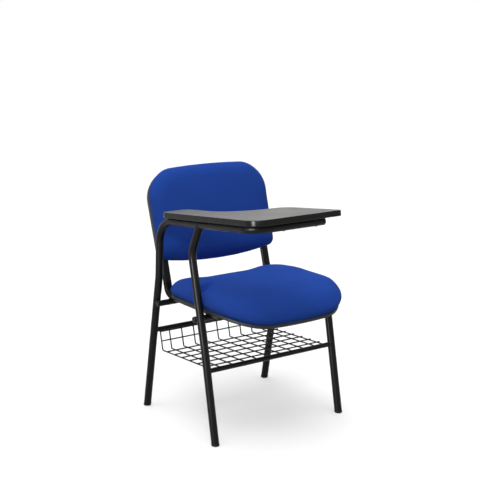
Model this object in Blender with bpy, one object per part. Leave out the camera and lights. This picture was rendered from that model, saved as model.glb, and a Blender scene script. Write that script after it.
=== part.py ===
"""Tablet arm chair: a steel tube visitor chair with a writing tablet and a book basket.

The chair faces -Y, +X is the sitter's left and +Z is up. Every piece is its own object.
The pieces are worked out from the sizes below in the chair's own frame: x = 0 is the middle
of the seat and z = 0 is the floor. A root empty then centres the whole chair over the origin.
"""

import math

import bmesh
import bpy
from mathutils import Matrix, Vector

# Fits
CLEARANCE = 0.0003          # gap kept between pieces that touch or fit together
SLOT_CLEARANCE = 0.0006     # gap between a tube and the slot it passes through
PLUG_CLEARANCE = 0.0004     # gap between a plug and the bore of its tube
COPE_CLEARANCE = 0.0006     # gap between a coped tube end and the tube it meets

# Fineness of the meshes
ARC_STEP = math.radians(15)     # largest turn between two rings of a bent tube
CORNER_STEP = math.radians(23)  # largest turn between two points of a rounded corner
EDGE_STEP = 0.078           # about the longest straight step along a cushion's outline
FLATNESS = 1e-6             # a four-sided face within this is left whole
TUBE_SIDES = 12
WIRE_SIDES = 6
FASTENER_SIDES = 8
OVAL_END_POINTS = 6         # points round each half-round end of a flat oval tube
EDGE_ANGLE = 40             # degrees; sharper turns are shaded as edges
SOFT_EDGE_ANGLE = 60        # the same on cushions
WIRE_EDGE_ANGLE = 70        # and on wires

# Round tube of the leg frames
LEG_TUBE_D = 0.0254
LEG_TUBE_WALL = 0.0015
LEG_FRAME_X = 0.2515        # axis of each leg frame, from the middle of the seat
FRONT_FOOT_Y = -0.211
REAR_FOOT_Y = 0.2235
FRONT_LEG_LEAN = 0.1924     # rearward run per unit of rise
REAR_LEG_LEAN = 0.2024      # forward run per unit of rise
FRONT_KNEE_Z = 0.30         # right front leg: leans further back above this height
FRONT_KNEE_R = 0.50
FRONT_ELBOW_Y = -0.0810     # right front leg: turns forward here, up to the arm
FRONT_ELBOW_Z = 0.602
FRONT_ELBOW_R = 0.08
FRONT_TOP_Y = -0.131        # where the right front leg meets the arm
REAR_KNEE_Z = 0.487         # right rear leg: straightens up here
REAR_KNEE_R = 0.15
UPRIGHT_LEAN = 0.06         # forward run per unit of rise above the rear knee
ARM_REAR_R = 0.09
ARM_CORNER_R = 0.06
ARM_FRONT_Y = -0.4232       # axis of the tube under the tablet's front edge
ARM_END_X = -0.003          # its free end
SADDLE_BEND_R = 0.04        # bends of the left frame under the seat

# Cross tubes and seat tubes
CROSS_TUBE_D = 0.020
CROSS_TUBE_WALL = 0.0015
CROSS_TUBE_Z = 0.391
CROSS_TUBE_OVERHANG = 0.010  # beyond the axis of each leg frame
SEAT_TUBE_W = 0.030         # flat oval tube: wide across the chair
SEAT_TUBE_T = 0.015
SEAT_TUBE_WALL = 0.0015
SEAT_TUBE_GAP = 0.0177      # from a leg's inner side to the seat tube's outer side
SEAT_TUBE_FRONT_Y = -0.180
SEAT_TUBE_BEND_R = 0.035
BACK_FOOT_Y = 0.1372        # where the upright's line meets the seat run's line
BACK_RECLINE = 0.2897       # rearward run per unit of rise
BACK_TUBE_TOP = 0.285       # length of the upright, from the seat run's line

# Book basket
BASKET_BAR_D = 0.016
BASKET_BAR_WALL = 0.0012
BASKET_FRONT_Z = 0.234
BASKET_REAR_Z = 0.287
WIRE_D = 0.0046
WIRE_PITCH = 0.048
WIRE_WELD_DEPTH = 0.0008    # how far crossing wires sink into each other
BASKET_SIDE_GAP = 0.0113    # from a leg's inner side to the basket's edge wire
BASKET_DEPTH_UNDER_BAR = 0.0725
BASKET_CORNER_R = 0.007
BASKET_WALL_LEAN = 0.0145   # the wall's foot stands this far in front of its top

# Seat
SEAT_LEG_GAP = 0.0054       # from a leg's inner side to the seat's lip
SEAT_FRONT_Y = -0.300
SEAT_REAR_Y = 0.135
SEAT_FRONT_BOW = 0.018
SEAT_FRONT_R = 0.125
SEAT_REAR_R = 0.085
WATERFALL_DROP = 0.0300     # how far the front edge curves down
WATERFALL_GAP = 0.013       # the curve starts this far in front of the seat tubes' caps
WATERFALL_POWER = 1.5       # of the curve's drop over its depth
SEAT_PAD_H = 0.070          # crown above the tray's floor
SEAT_REAR_DISH = 0.36       # share of the crown missing at the rear edge
SEAT_DISH_RUN = 0.20
SEAT_BOARD_T = 0.011
SEAT_LIP_DROP = 0.002       # the tray's lip hangs this far below its floor
SHELL_WALL = 0.003          # moulded plastic tray and back shell
SHELL_RIM = 0.005           # the rim stands this far above the tray's floor
COVER_T = 0.0012

# Backrest
BACK_TOP_MARGIN = 0.0284    # top corners beyond the seat tubes' axes, before they are rounded
BACK_BOTTOM_MARGIN = 0.0239
BACK_BOTTOM = 0.1245        # bottom corners, along the upright from the seat run's line
BACK_H = 0.301              # from the bottom corners to the top
BACK_TOP_BOW = 0.012
BACK_BOTTOM_BOW = 0.022
BACK_TOP_R = 0.092
BACK_BOTTOM_R = 0.020
BACK_BOARD_T = 0.010
BACK_PAD_H = 0.048          # crown above the board's back
BACK_SHELL_CROWN = 0.005
BACK_HEAD_ROOM = 0.0060     # room for the bolt heads behind the uprights

# Writing tablet
TABLET_T = 0.018
TABLET_RISE = 0.1058        # rise towards the front per unit of depth
TABLET_REAR_Y = 0.068
TABLET_REAR_Z = 0.7108      # top face at the rear end
TABLET_LENGTH = 0.5335
TABLET_OVERHANG = 0.0139    # right edge beyond the arm tube's outer side
TABLET_ARM_W = 0.102
TABLET_FRONT_W = 0.319
TABLET_NECK = 0.273         # from the rear end to the wide part
TABLET_TAPER = 0.0255       # the left edge leans in by this much towards the rear
TABLET_COVE_R = 0.14
TABLET_KNEE_R = 0.055
TABLET_FRONT_RIGHT_R = 0.050
TABLET_FRONT_LEFT_R = 0.012
TABLET_REAR_R = 0.030
EDGE_BAND_T = 0.0025
EDGE_BAND_ROUND = 0.0015

# Small pieces
GLIDE_H = 0.008
GLIDE_OVERLAP = 0.0006      # the glide's foot is this much larger than its tube
GLIDE_ROUND = 0.0015
PLUG_LENGTH = 0.022
CAP_T = 0.003
CAP_ROUND = 0.002
BOLT_D = 0.006
BOLT_HEAD_D = 0.0125
BOLT_HEAD_H = 0.004
BOLT_CHAMFER = 0.001
BOLT_TIP_GAP = 0.002        # bolt ends this far below the top of its nut
NUT_BARREL_D = 0.009
NUT_FLANGE_D = 0.019
NUT_FLANGE_T = 0.0014
SEAT_BOLT_Y = (-0.142, 0.035)
BACK_BOLT_V = (0.165, 0.250)
SCREW_D = 0.004
SCREW_HEAD_D = 0.009
SCREW_HEAD_H = 0.003
SCREW_HEAD_TOP_D = 0.0063   # flat in the middle of the domed head
SCREW_TIP_D = 0.001
SCREW_BITE = 0.012          # depth in the tablet's board
ARM_SCREW_Y = (0.0, -0.215, -0.345)
FRONT_SCREW_X = (-0.150, -0.030)

# Values worked out from the sizes
LEG_R = LEG_TUBE_D / 2
CROSS_R = CROSS_TUBE_D / 2
BAR_R = BASKET_BAR_D / 2
WIRE_R = WIRE_D / 2
LEG_INNER_X = LEG_FRAME_X - LEG_R
SEAT_TUBE_X = LEG_INNER_X - SEAT_TUBE_GAP - SEAT_TUBE_W / 2
SEAT_TUBE_Z = CROSS_TUBE_Z + CROSS_R + CLEARANCE + SEAT_TUBE_T / 2
SEAT_HALF_W = LEG_INNER_X - SEAT_LEG_GAP
BACK_HALF_W = SEAT_TUBE_X + BACK_TOP_MARGIN
BACK_BOTTOM_HALF_W = SEAT_TUBE_X + BACK_BOTTOM_MARGIN
WATERFALL_START = SEAT_TUBE_FRONT_Y - CAP_T - WATERFALL_GAP
WATERFALL_RUN = WATERFALL_START - (SEAT_FRONT_Y - SEAT_FRONT_BOW)
TRAY_Z = SEAT_TUBE_Z + SEAT_TUBE_T / 2 + CLEARANCE
SADDLE_Z = CROSS_TUBE_Z - CROSS_R - CLEARANCE - LEG_R
TABLET_TILT = math.atan(TABLET_RISE)
BACK_TILT = math.atan(BACK_RECLINE)
TABLET_RIGHT_X = -(LEG_FRAME_X + LEG_R + TABLET_OVERHANG)
ARM_DROP = TABLET_T + CLEARANCE + LEG_R

# The cushions' section from the tuck in the rim to the shoulder, as pairs of inset from the
# outline and share of the crown height, and their crown, as pairs of share of the shoulder's
# size and share of the crown height
PAD_SECTION = ((-0.0015, 0.150), (-0.0040, 0.270), (-0.0030, 0.450), (0.0030, 0.640),
               (0.0140, 0.810), (0.0320, 0.930))
PAD_CROWN = ((0.72, 0.985), (0.40, 1.0), (0.12, 1.0))

# The back shell's section and crown in the same way, with shares of its depth and of its crown
BACK_SHELL_SECTION = ((0.0, 0.0), (0.002, 0.50), (0.006, 0.85), (0.013, 1.0))
BACK_SHELL_CROWN_RINGS = ((0.72, 0.7), (0.40, 1.0))

# Sizes of the rings that carry the front's curve into the seat's layers; the back's are flat
SEAT_BED = (0.45, 0.64, 0.82, 1.0)
BACK_BED = (1.0,)


def material(name, rgb, roughness, metallic=0.0):
    """Return a Principled material."""
    mat = bpy.data.materials.new(name)
    mat.use_nodes = True
    shader = mat.node_tree.nodes["Principled BSDF"]
    shader.inputs["Base Color"].default_value = (*rgb, 1.0)
    shader.inputs["Roughness"].default_value = roughness
    shader.inputs["Metallic"].default_value = metallic
    return mat


def add_quad(bm, a, b, c, d):
    """Add a four-sided face, split along its shorter diagonal where it isn't flat."""
    normal = (b.co - a.co).cross(d.co - a.co).normalized()
    if abs((c.co - a.co).dot(normal)) < FLATNESS:
        bm.faces.new((a, b, c, d))
    elif (a.co - c.co).length < (b.co - d.co).length:
        bm.faces.new((a, b, c))
        bm.faces.new((a, c, d))
    else:
        bm.faces.new((a, b, d))
        bm.faces.new((b, c, d))


def join_rows(bm, low, high):
    """Join two equal closed rows of vertices with faces."""
    count = len(low)
    for i in range(count):
        j = (i + 1) % count
        add_quad(bm, low[i], low[j], high[j], high[i])


def loft(rings, loop=False):
    """Return a mesh that joins equal rings in order, capped at both ends or closed on itself."""
    bm = bmesh.new()
    rows = [[bm.verts.new(p) for p in ring] for ring in rings]
    pairs = list(zip(rows, rows[1:]))
    if loop:
        pairs.append((rows[-1], rows[0]))
    for low, high in pairs:
        join_rows(bm, low, high)
    if not loop:
        bm.faces.new(list(reversed(rows[0])))
        bm.faces.new(rows[-1])
    bmesh.ops.recalc_face_normals(bm, faces=bm.faces)
    return bm


def add_part(name, bm, mat, parent, sharp=EDGE_ANGLE):
    """Make the object of one piece, shaded smooth except at its edges."""
    mesh = bpy.data.meshes.new(name)
    bm.to_mesh(mesh)
    bm.free()
    mesh.materials.append(mat)
    mesh.shade_smooth()
    mesh.set_sharp_from_angle(angle=math.radians(sharp))
    obj = bpy.data.objects.new(name, mesh)
    bpy.context.scene.collection.objects.link(obj)
    obj.parent = parent
    return obj


def add_empty(name, parent=None, location=(0, 0, 0), tilt=0.0):
    """Make an empty that carries a group of pieces."""
    obj = bpy.data.objects.new(name, None)
    bpy.context.scene.collection.objects.link(obj)
    obj.parent = parent
    obj.location = location
    obj.rotation_euler = (tilt, 0, 0)
    return obj


def add_cutter(name, bm, parent):
    """Make a hidden shape for a Boolean."""
    mesh = bpy.data.meshes.new(name)
    bm.to_mesh(mesh)
    bm.free()
    obj = bpy.data.objects.new(name, mesh)
    bpy.context.scene.collection.objects.link(obj)
    obj.parent = parent
    obj.hide_render = True
    obj.display_type = "WIRE"
    return obj


def cut(obj, cutter):
    """Take the cutter's shape out of an object."""
    modifier = obj.modifiers.new(cutter.name, "BOOLEAN")
    modifier.operation = "DIFFERENCE"
    modifier.solver = "EXACT"
    modifier.object = cutter


def fillet_path(corners, arc_step=ARC_STEP):
    """Return points and directions along straight runs joined by arcs.

    corners is a list of (point, bend radius); the first and last radius are ignored.
    """
    points = [Vector(corners[0][0])]
    directions = [(Vector(corners[1][0]) - points[0]).normalized()]
    for (before, _), (corner, radius), (after, _) in zip(corners, corners[1:], corners[2:]):
        corner = Vector(corner)
        d_in = (corner - Vector(before)).normalized()
        d_out = (Vector(after) - corner).normalized()
        turn = d_in.angle(d_out)
        start = corner - d_in * radius * math.tan(turn / 2)
        axis = d_in.cross(d_out).normalized()
        centre = start + axis.cross(d_in) * radius
        steps = max(2, math.ceil(turn / arc_step))
        for k in range(steps + 1):
            spin = Matrix.Rotation(turn * k / steps, 3, axis)
            points.append(centre + spin @ (start - centre))
            directions.append(spin @ d_in)
    end = Vector(corners[-1][0])
    points.append(end)
    directions.append((end - Vector(corners[-2][0])).normalized())
    return points, directions


def round_section(radius, sides):
    """Return a circle as (across, along) pairs."""
    return [(radius * math.cos(2 * math.pi * k / sides), radius * math.sin(2 * math.pi * k / sides))
            for k in range(sides)]


def oval_section(width, thick):
    """Return a flat oval, wide along the first axis, with half-round ends."""
    r = thick / 2
    flat = width / 2 - r
    pairs = []
    for side in (1, -1):
        for k in range(OVAL_END_POINTS):
            a = math.pi * (k / (OVAL_END_POINTS - 1) - 0.5)
            pairs.append((side * (flat + r * math.cos(a)), side * r * math.sin(a)))
    return pairs


def section_rings(points, directions, section, across):
    """Carry a section along a path, keeping its first axis close to the given direction."""
    rings = []
    side = Vector(across)
    for point, direction in zip(points, directions):
        side = (side - direction * side.dot(direction)).normalized()
        up = direction.cross(side)
        rings.append([point + side * a + up * b for a, b in section])
    return rings


def slide_to_height(height):
    """Return a trim that cuts a tube's end level at a height."""
    def trim(point, direction):
        return point + direction * ((height - point.z) / direction.z)
    return trim


def slide_to_tube(centre, axis, radius):
    """Return a trim that copes a tube's end against the near side of another tube."""
    centre = Vector(centre)
    axis = Vector(axis).normalized()

    def trim(point, direction):
        out = point - centre
        out = out - axis * out.dot(axis)
        run = direction - axis * direction.dot(axis)
        a = run.dot(run)
        b = out.dot(run)
        c = out.dot(out) - radius * radius
        return point + direction * ((-b - math.sqrt(max(b * b - a * c, 0.0))) / a)
    return trim


def tube(name, corners, outer, inner, across, mat, parent, start_trim=None, end_trim=None):
    """Make a hollow tube along a path from its outer and inner sections."""
    points, directions = fillet_path(corners)
    skins = []
    for section in (outer, inner):
        rings = section_rings(points, directions, section, across)
        if start_trim:
            rings[0] = [start_trim(p, directions[0]) for p in rings[0]]
        if end_trim:
            rings[-1] = [end_trim(p, directions[-1]) for p in rings[-1]]
        skins.append(rings)
    return add_part(name, loft(skins[0] + skins[1][::-1], loop=True), mat, parent)


def round_tube(name, corners, diameter, wall, mat, parent, across=(1, 0, 0), **trims):
    """Make a hollow round tube."""
    outer = round_section(diameter / 2, TUBE_SIDES)
    inner = round_section(diameter / 2 - wall, TUBE_SIDES)
    return tube(name, corners, outer, inner, across, mat, parent, **trims)


def turned(profile, place, sides=FASTENER_SIDES, loop=False):
    """Return a turned shape about a placement's Z axis from (radius, height) pairs."""
    rings = [[place @ Vector((a, b, z)) for a, b in round_section(r, sides)] for r, z in profile]
    return loft(rings, loop)


def end_plug(name, end, outward, across, outer, bore, mat, parent):
    """Make a plug cap: a rounded button on the tube's end and a shank in its bore.

    outer and bore are functions that give a section shrunk by a margin.
    """
    stations = ((-PLUG_LENGTH, bore(PLUG_CLEARANCE)), (CLEARANCE, bore(PLUG_CLEARANCE)),
                (CLEARANCE, outer(0.0)), (CAP_T - CAP_ROUND, outer(0.0)), (CAP_T, outer(CAP_ROUND)))
    rings = []
    for distance, section in stations:
        rings += section_rings([end + outward * distance], [outward], section, across)
    return add_part(name, loft(rings), mat, parent)


def fillet_outline(corners, arc_step=CORNER_STEP):
    """Return a closed outline from (x, y, radius) corners, with each corner turned into an arc."""
    outline = []
    count = len(corners)
    for i in range(count):
        x, y, radius = corners[i]
        here = Vector((x, y, 0))
        before = Vector((*corners[i - 1][:2], 0))
        after = Vector((*corners[(i + 1) % count][:2], 0))
        points, _ = fillet_path([(before, 0), (here, radius), (after, 0)], arc_step)
        outline += [Vector((p.x, p.y)) for p in points[1:-1]]
    return outline


def subdivide_outline(outline, longest):
    """Split the long straight runs of an outline."""
    points = []
    for here, after in zip(outline, outline[1:] + outline[:1]):
        steps = max(1, round((after - here).length / longest))
        points += [here.lerp(after, k / steps) for k in range(steps)]
    return points


def inset_outline(outline, inset):
    """Move every point of a counter-clockwise outline inwards."""
    moved = []
    count = len(outline)
    for i in range(count):
        along = (outline[(i + 1) % count] - outline[i - 1]).normalized()
        moved.append(outline[i] + Vector((-along.y, along.x)) * inset)
    return moved


def outline_centre(outline):
    """Return the middle of an outline's box."""
    xs = [p.x for p in outline]
    ys = [p.y for p in outline]
    return Vector(((min(xs) + max(xs)) / 2, (min(ys) + max(ys)) / 2))


def scale_outline(outline, centre, share):
    """Shrink an outline towards a point."""
    return [centre + (p - centre) * share for p in outline]


def shrink_outline(outline, inset):
    """Shrink a rounded outline about its middle, so that its box draws in on every side."""
    centre = outline_centre(outline)
    half_x = max(p.x for p in outline) - centre.x
    half_y = max(p.y for p in outline) - centre.y
    share = Vector((1 - inset / half_x, 1 - inset / half_y))
    return [centre + (p - centre) * share for p in outline]


def leg_line(foot_y, lean, z):
    """Return a leg's axis y at a height."""
    return foot_y + lean * z


def slant_factor(lean):
    """Return the length along a slanted line per unit of height."""
    return math.sqrt(1 + lean * lean)


def front_leg_slope():
    """Return the run per rise of the right front leg between its knee and its elbow."""
    knee_y = leg_line(FRONT_FOOT_Y, FRONT_LEG_LEAN, FRONT_KNEE_Z)
    return (FRONT_ELBOW_Y - knee_y) / (FRONT_ELBOW_Z - FRONT_KNEE_Z)


def right_front_leg_y(z):
    """Return the right front leg's axis y at a height below its elbow."""
    knee_y = leg_line(FRONT_FOOT_Y, FRONT_LEG_LEAN, FRONT_KNEE_Z)
    if z < FRONT_KNEE_Z:
        return leg_line(FRONT_FOOT_Y, FRONT_LEG_LEAN, z)
    return knee_y + front_leg_slope() * (z - FRONT_KNEE_Z)


def front_cross_y():
    """Return the front cross tube's y: it lies against the back of the right front leg."""
    reach = (LEG_R + CROSS_R + CLEARANCE) * slant_factor(front_leg_slope())
    return right_front_leg_y(CROSS_TUBE_Z) + reach


def rear_cross_y():
    """Return the rear cross tube's y: it lies against the front of the rear legs."""
    reach = (LEG_R + CROSS_R + CLEARANCE) * slant_factor(REAR_LEG_LEAN)
    return leg_line(REAR_FOOT_Y, -REAR_LEG_LEAN, CROSS_TUBE_Z) - reach


def tablet_matrix():
    """Return the tablet's frame: its origin on the top face at the rear, Z square to the face."""
    return Matrix.Translation((0, TABLET_REAR_Y, TABLET_REAR_Z)) @ Matrix.Rotation(-TABLET_TILT, 4, "X")


def back_matrix():
    """Return the backrest's frame: its origin on the seat run's line, Z up the uprights."""
    return Matrix.Translation((0, BACK_FOOT_Y, SEAT_TUBE_Z)) @ Matrix.Rotation(-BACK_TILT, 4, "X")


def arm_point(x, y):
    """Return the point of the arm tube's axis plane over a chair x and y."""
    frame = tablet_matrix()
    down = frame.to_3x3() @ Vector((0, 0, -ARM_DROP))
    origin = frame.translation + down
    return Vector((x, y, origin.z - TABLET_RISE * (y - origin.y)))


def leg_frames(steel, root):
    """Make the right arm frame, the right front leg and the left leg frame."""
    floor_cut = slide_to_height(GLIDE_H + CLEARANCE)
    right = -LEG_FRAME_X
    knee_y = leg_line(REAR_FOOT_Y, -REAR_LEG_LEAN, REAR_KNEE_Z)
    arm_rear = arm_point(right, knee_y - UPRIGHT_LEAN * (arm_point(right, knee_y).z - REAR_KNEE_Z))
    foot = (right, REAR_FOOT_Y, 0)
    round_tube("arm_frame_tube", [
        (foot, 0), ((right, knee_y, REAR_KNEE_Z), REAR_KNEE_R), (arm_rear, ARM_REAR_R),
        (arm_point(right, ARM_FRONT_Y), ARM_CORNER_R), (arm_point(ARM_END_X, ARM_FRONT_Y), 0),
    ], LEG_TUBE_D, LEG_TUBE_WALL, steel, root, start_trim=floor_cut)

    arm_axis = arm_point(right, ARM_FRONT_Y) - arm_point(right, 0)
    front_knee = (right, leg_line(FRONT_FOOT_Y, FRONT_LEG_LEAN, FRONT_KNEE_Z), FRONT_KNEE_Z)
    top = arm_point(right, FRONT_TOP_Y)
    elbow = Vector((right, FRONT_ELBOW_Y, FRONT_ELBOW_Z))
    stop = elbow.lerp(top, 1 - 2 * LEG_R / (top - elbow).length)
    round_tube("front_right_leg", [
        ((right, FRONT_FOOT_Y, 0), 0), (front_knee, FRONT_KNEE_R), (elbow, FRONT_ELBOW_R), (stop, 0),
    ], LEG_TUBE_D, LEG_TUBE_WALL, steel, root, start_trim=floor_cut,
        end_trim=slide_to_tube(top, arm_axis, LEG_R + COPE_CLEARANCE))

    left = LEG_FRAME_X
    round_tube("left_leg_frame", [
        ((left, FRONT_FOOT_Y, 0), 0),
        ((left, leg_line(FRONT_FOOT_Y, FRONT_LEG_LEAN, SADDLE_Z), SADDLE_Z), SADDLE_BEND_R),
        ((left, leg_line(REAR_FOOT_Y, -REAR_LEG_LEAN, SADDLE_Z), SADDLE_Z), SADDLE_BEND_R),
        ((left, REAR_FOOT_Y, 0), 0),
    ], LEG_TUBE_D, LEG_TUBE_WALL, steel, root, start_trim=floor_cut, end_trim=floor_cut)


def foot_glides(plastic, root):
    """Make the four plug-in glides that the legs stand on."""
    feet = (("front_right_glide", -1, FRONT_FOOT_Y, FRONT_LEG_LEAN),
            ("front_left_glide", 1, FRONT_FOOT_Y, FRONT_LEG_LEAN),
            ("rear_right_glide", -1, REAR_FOOT_Y, -REAR_LEG_LEAN),
            ("rear_left_glide", 1, REAR_FOOT_Y, -REAR_LEG_LEAN))
    foot_r = LEG_R + GLIDE_OVERLAP
    plug_r = LEG_R - LEG_TUBE_WALL - PLUG_CLEARANCE
    for name, side, foot_y, lean in feet:
        foot = Vector((side * LEG_FRAME_X, foot_y, 0))
        up = Vector((0, lean, 1)).normalized()
        stations = ((foot_r - GLIDE_ROUND, 0.0), (foot_r, GLIDE_ROUND), (foot_r, GLIDE_H),
                    (plug_r, GLIDE_H), (plug_r, GLIDE_H + PLUG_LENGTH))
        rings = []
        for radius, height in stations:
            ring = section_rings([foot], [up], round_section(radius, TUBE_SIDES), (1, 0, 0))[0]
            level = slide_to_height(height)
            rings.append([level(p, up) for p in ring])
        add_part(name, loft(rings), plastic, root)


def cross_tubes(steel, plastic, root):
    """Make the two cross tubes under the seat and the caps in their ends."""
    reach = LEG_FRAME_X + CROSS_TUBE_OVERHANG
    for name, y in (("front_cross_tube", front_cross_y()), ("rear_cross_tube", rear_cross_y())):
        ends = [Vector((side * reach, y, CROSS_TUBE_Z)) for side in (-1, 1)]
        round_tube(name, [(ends[0], 0), (ends[1], 0)], CROSS_TUBE_D, CROSS_TUBE_WALL, steel, root,
                   across=(0, 1, 0))
        for side, end in zip(("right", "left"), ends):
            outward = Vector((math.copysign(1, end.x), 0, 0))
            round_cap(f"{name}_{side}_cap", end, outward, CROSS_TUBE_D, CROSS_TUBE_WALL, (0, 1, 0),
                      plastic, root)


def round_cap(name, end, outward, diameter, wall, across, plastic, root):
    """Make a plug cap for the end of a round tube."""
    def outer(margin):
        return round_section(diameter / 2 - margin, TUBE_SIDES)

    def bore(margin):
        return round_section(diameter / 2 - wall - margin, TUBE_SIDES)
    end_plug(name, end, outward, across, outer, bore, plastic, root)


def seat_tube_corners(x):
    """Return the path of a seat tube: along under the seat, then up behind it."""
    up = Vector((0, BACK_RECLINE, 1)).normalized()
    front = Vector((x, SEAT_TUBE_FRONT_Y, SEAT_TUBE_Z))
    corner = Vector((x, BACK_FOOT_Y, SEAT_TUBE_Z))
    return [(front, 0), (corner, SEAT_TUBE_BEND_R), (corner + up * BACK_TUBE_TOP, 0)]


def slot_cutter(name, x, parent):
    """Make the hidden shape of a seat tube with room around it."""
    points, directions = fillet_path(seat_tube_corners(x))
    section = oval_section(SEAT_TUBE_W + 2 * SLOT_CLEARANCE, SEAT_TUBE_T + 2 * SLOT_CLEARANCE)
    rings = section_rings(points, directions, section, (1, 0, 0))
    return add_cutter(name, loft(rings), parent)


def seat_tubes(steel, plastic, root):
    """Make the two flat oval tubes that carry the seat and rise into the backrest.

    Returns the side, x, tube and slot shape of each.
    """
    outer = oval_section(SEAT_TUBE_W, SEAT_TUBE_T)
    inner = oval_section(SEAT_TUBE_W - 2 * SEAT_TUBE_WALL, SEAT_TUBE_T - 2 * SEAT_TUBE_WALL)

    def cap_outer(margin):
        return oval_section(SEAT_TUBE_W - 2 * margin, SEAT_TUBE_T - 2 * margin)

    def cap_bore(margin):
        return cap_outer(SEAT_TUBE_WALL + margin)

    tubes = []
    for side, x in (("right", -SEAT_TUBE_X), ("left", SEAT_TUBE_X)):
        corners = seat_tube_corners(x)
        seat_tube = tube(f"{side}_seat_tube", corners, outer, inner, (1, 0, 0), steel, root)
        tubes.append((side, x, seat_tube, slot_cutter(f"{side}_seat_tube_slot", x, root)))
        end_plug(f"{side}_seat_tube_cap", corners[0][0], Vector((0, -1, 0)), (1, 0, 0), cap_outer,
                 cap_bore, plastic, root)
    return tubes


def arm_end_cap(plastic, root):
    """Make the cap on the free end of the tube under the tablet."""
    round_cap("arm_tube_cap", arm_point(ARM_END_X, ARM_FRONT_Y), Vector((1, 0, 0)), LEG_TUBE_D,
              LEG_TUBE_WALL, (0, 1, 0), plastic, root)


def basket_bars(steel, root):
    """Make the two bars between the legs that carry the basket."""
    right = -LEG_FRAME_X
    bars = (("basket_front_bar", right_front_leg_y(BASKET_FRONT_Z), BASKET_FRONT_Z, FRONT_FOOT_Y,
             FRONT_LEG_LEAN),
            ("basket_rear_bar", leg_line(REAR_FOOT_Y, -REAR_LEG_LEAN, BASKET_REAR_Z), BASKET_REAR_Z,
             REAR_FOOT_Y, -REAR_LEG_LEAN))
    for name, y, z, foot_y, lean in bars:
        axis = Vector((0, lean, 1))
        trims = [slide_to_tube((side * LEG_FRAME_X, foot_y, 0), axis, LEG_R + COPE_CLEARANCE)
                 for side in (-1, 1)]
        ends = [Vector((x, y, z)) for x in (right + LEG_TUBE_D, LEG_FRAME_X - LEG_TUBE_D)]
        round_tube(name, [(ends[0], 0), (ends[1], 0)], BASKET_BAR_D, BASKET_BAR_WALL, steel, root,
                   across=(0, 1, 0), start_trim=flip(trims[0]), end_trim=trims[1])


def flip(trim):
    """Return a trim for a tube's first end, which runs outwards against the path."""
    def flipped(point, direction):
        return trim(point, -direction)
    return flipped


def wire(name, corners, parent, across):
    """Make one wire of the basket as a hidden shape to be welded to the others."""
    points, directions = fillet_path(corners)
    rings = section_rings(points, directions, hex_section(), across)
    return add_cutter(name, loft(rings), parent)


def hex_section():
    """Return a wire's section with flats towards the wires that cross it."""
    return round_section(WIRE_R / math.cos(math.pi / WIRE_SIDES), WIRE_SIDES)


def even_places(low, high, pitch):
    """Return places at a pitch, centred between two ends and clear of them by half a pitch or less."""
    count = int((high - low - pitch / 2) / pitch) + 1
    middle = (low + high) / 2
    return [middle + pitch * (k - (count - 1) / 2) for k in range(count)]


def book_basket(steel, root):
    """Make the welded wire basket: bent wires front to back, and long wires across them inside."""
    edge = LEG_INNER_X - BASKET_SIDE_GAP
    bar_y = right_front_leg_y(BASKET_FRONT_Z)
    rear_y = leg_line(REAR_FOOT_Y, -REAR_LEG_LEAN, BASKET_REAR_Z)
    corner = Vector((0, rear_y - BASKET_WALL_LEAN, BASKET_REAR_Z - BASKET_DEPTH_UNDER_BAR))
    to_bar = Vector((0, bar_y, BASKET_FRONT_Z)) - corner
    front = corner + to_bar * (1 - (BAR_R + COPE_CLEARANCE) / to_bar.length)
    top = Vector((0, rear_y, BASKET_REAR_Z - BAR_R - WIRE_R - CLEARANCE))
    floor_run = (corner - front).normalized()
    floor_up = Vector((0, -floor_run.z, floor_run.y))
    wall_run = (top - corner).normalized()
    wall_front = Vector((0, -wall_run.z, wall_run.y))
    step = WIRE_D - WIRE_WELD_DEPTH

    pieces = bpy.data.collections.new("basket_wires")
    bpy.context.scene.collection.children.link(pieces)
    places = [-edge] + even_places(-edge, edge, WIRE_PITCH) + [edge]
    for number, x in enumerate(places):
        across = Vector((x, 0, 0))
        bent = wire(f"bent_wire_{number}", [
            (front + across, 0), (corner + across, BASKET_CORNER_R), (top + across, 0)],
            root, (1, 0, 0))
        pieces.objects.link(bent)

    first = WIRE_D
    depth = (corner - front).length - BASKET_CORNER_R - WIRE_D
    runs = [front + floor_run * d + floor_up * step for d in even_places(first, depth, WIRE_PITCH)]
    middle = corner.lerp(top, 0.5) + wall_front * step
    for number, centre in enumerate(runs + [middle]):
        ends = [centre + Vector((side * (edge + WIRE_D), 0, 0)) for side in (-1, 1)]
        long_wire = wire(f"long_wire_{number}", [(ends[0], 0), (ends[1], 0)], root, floor_run)
        pieces.objects.link(long_wire)

    ends = [top + Vector((side * (edge + WIRE_R), 0, 0)) for side in (-1, 1)]
    rings = section_rings(ends, [Vector((1, 0, 0))] * 2, hex_section(), (0, 1, 0))
    basket = add_part("book_basket", loft(rings), steel, root, sharp=WIRE_EDGE_ANGLE)
    weld = basket.modifiers.new("weld", "BOOLEAN")
    weld.operation = "UNION"
    weld.solver = "EXACT"
    weld.operand_type = "COLLECTION"
    weld.collection = pieces


def seat_outline():
    """Return the seat's outline, counter-clockwise from above, with its bowed front edge."""
    half = SEAT_HALF_W
    corners = [(half, SEAT_REAR_Y, SEAT_REAR_R), (-half, SEAT_REAR_Y, SEAT_REAR_R),
               (-half, SEAT_FRONT_Y, SEAT_FRONT_R), (half, SEAT_FRONT_Y, SEAT_FRONT_R)]
    outline = subdivide_outline(fillet_outline(corners), EDGE_STEP)
    for p in outline:
        share = min(max((SEAT_FRONT_Y + SEAT_FRONT_R - p.y) / SEAT_FRONT_R, 0.0), 1.0)
        p.y -= SEAT_FRONT_BOW * share * (1 - (p.x / half) ** 2)
    return outline


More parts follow.
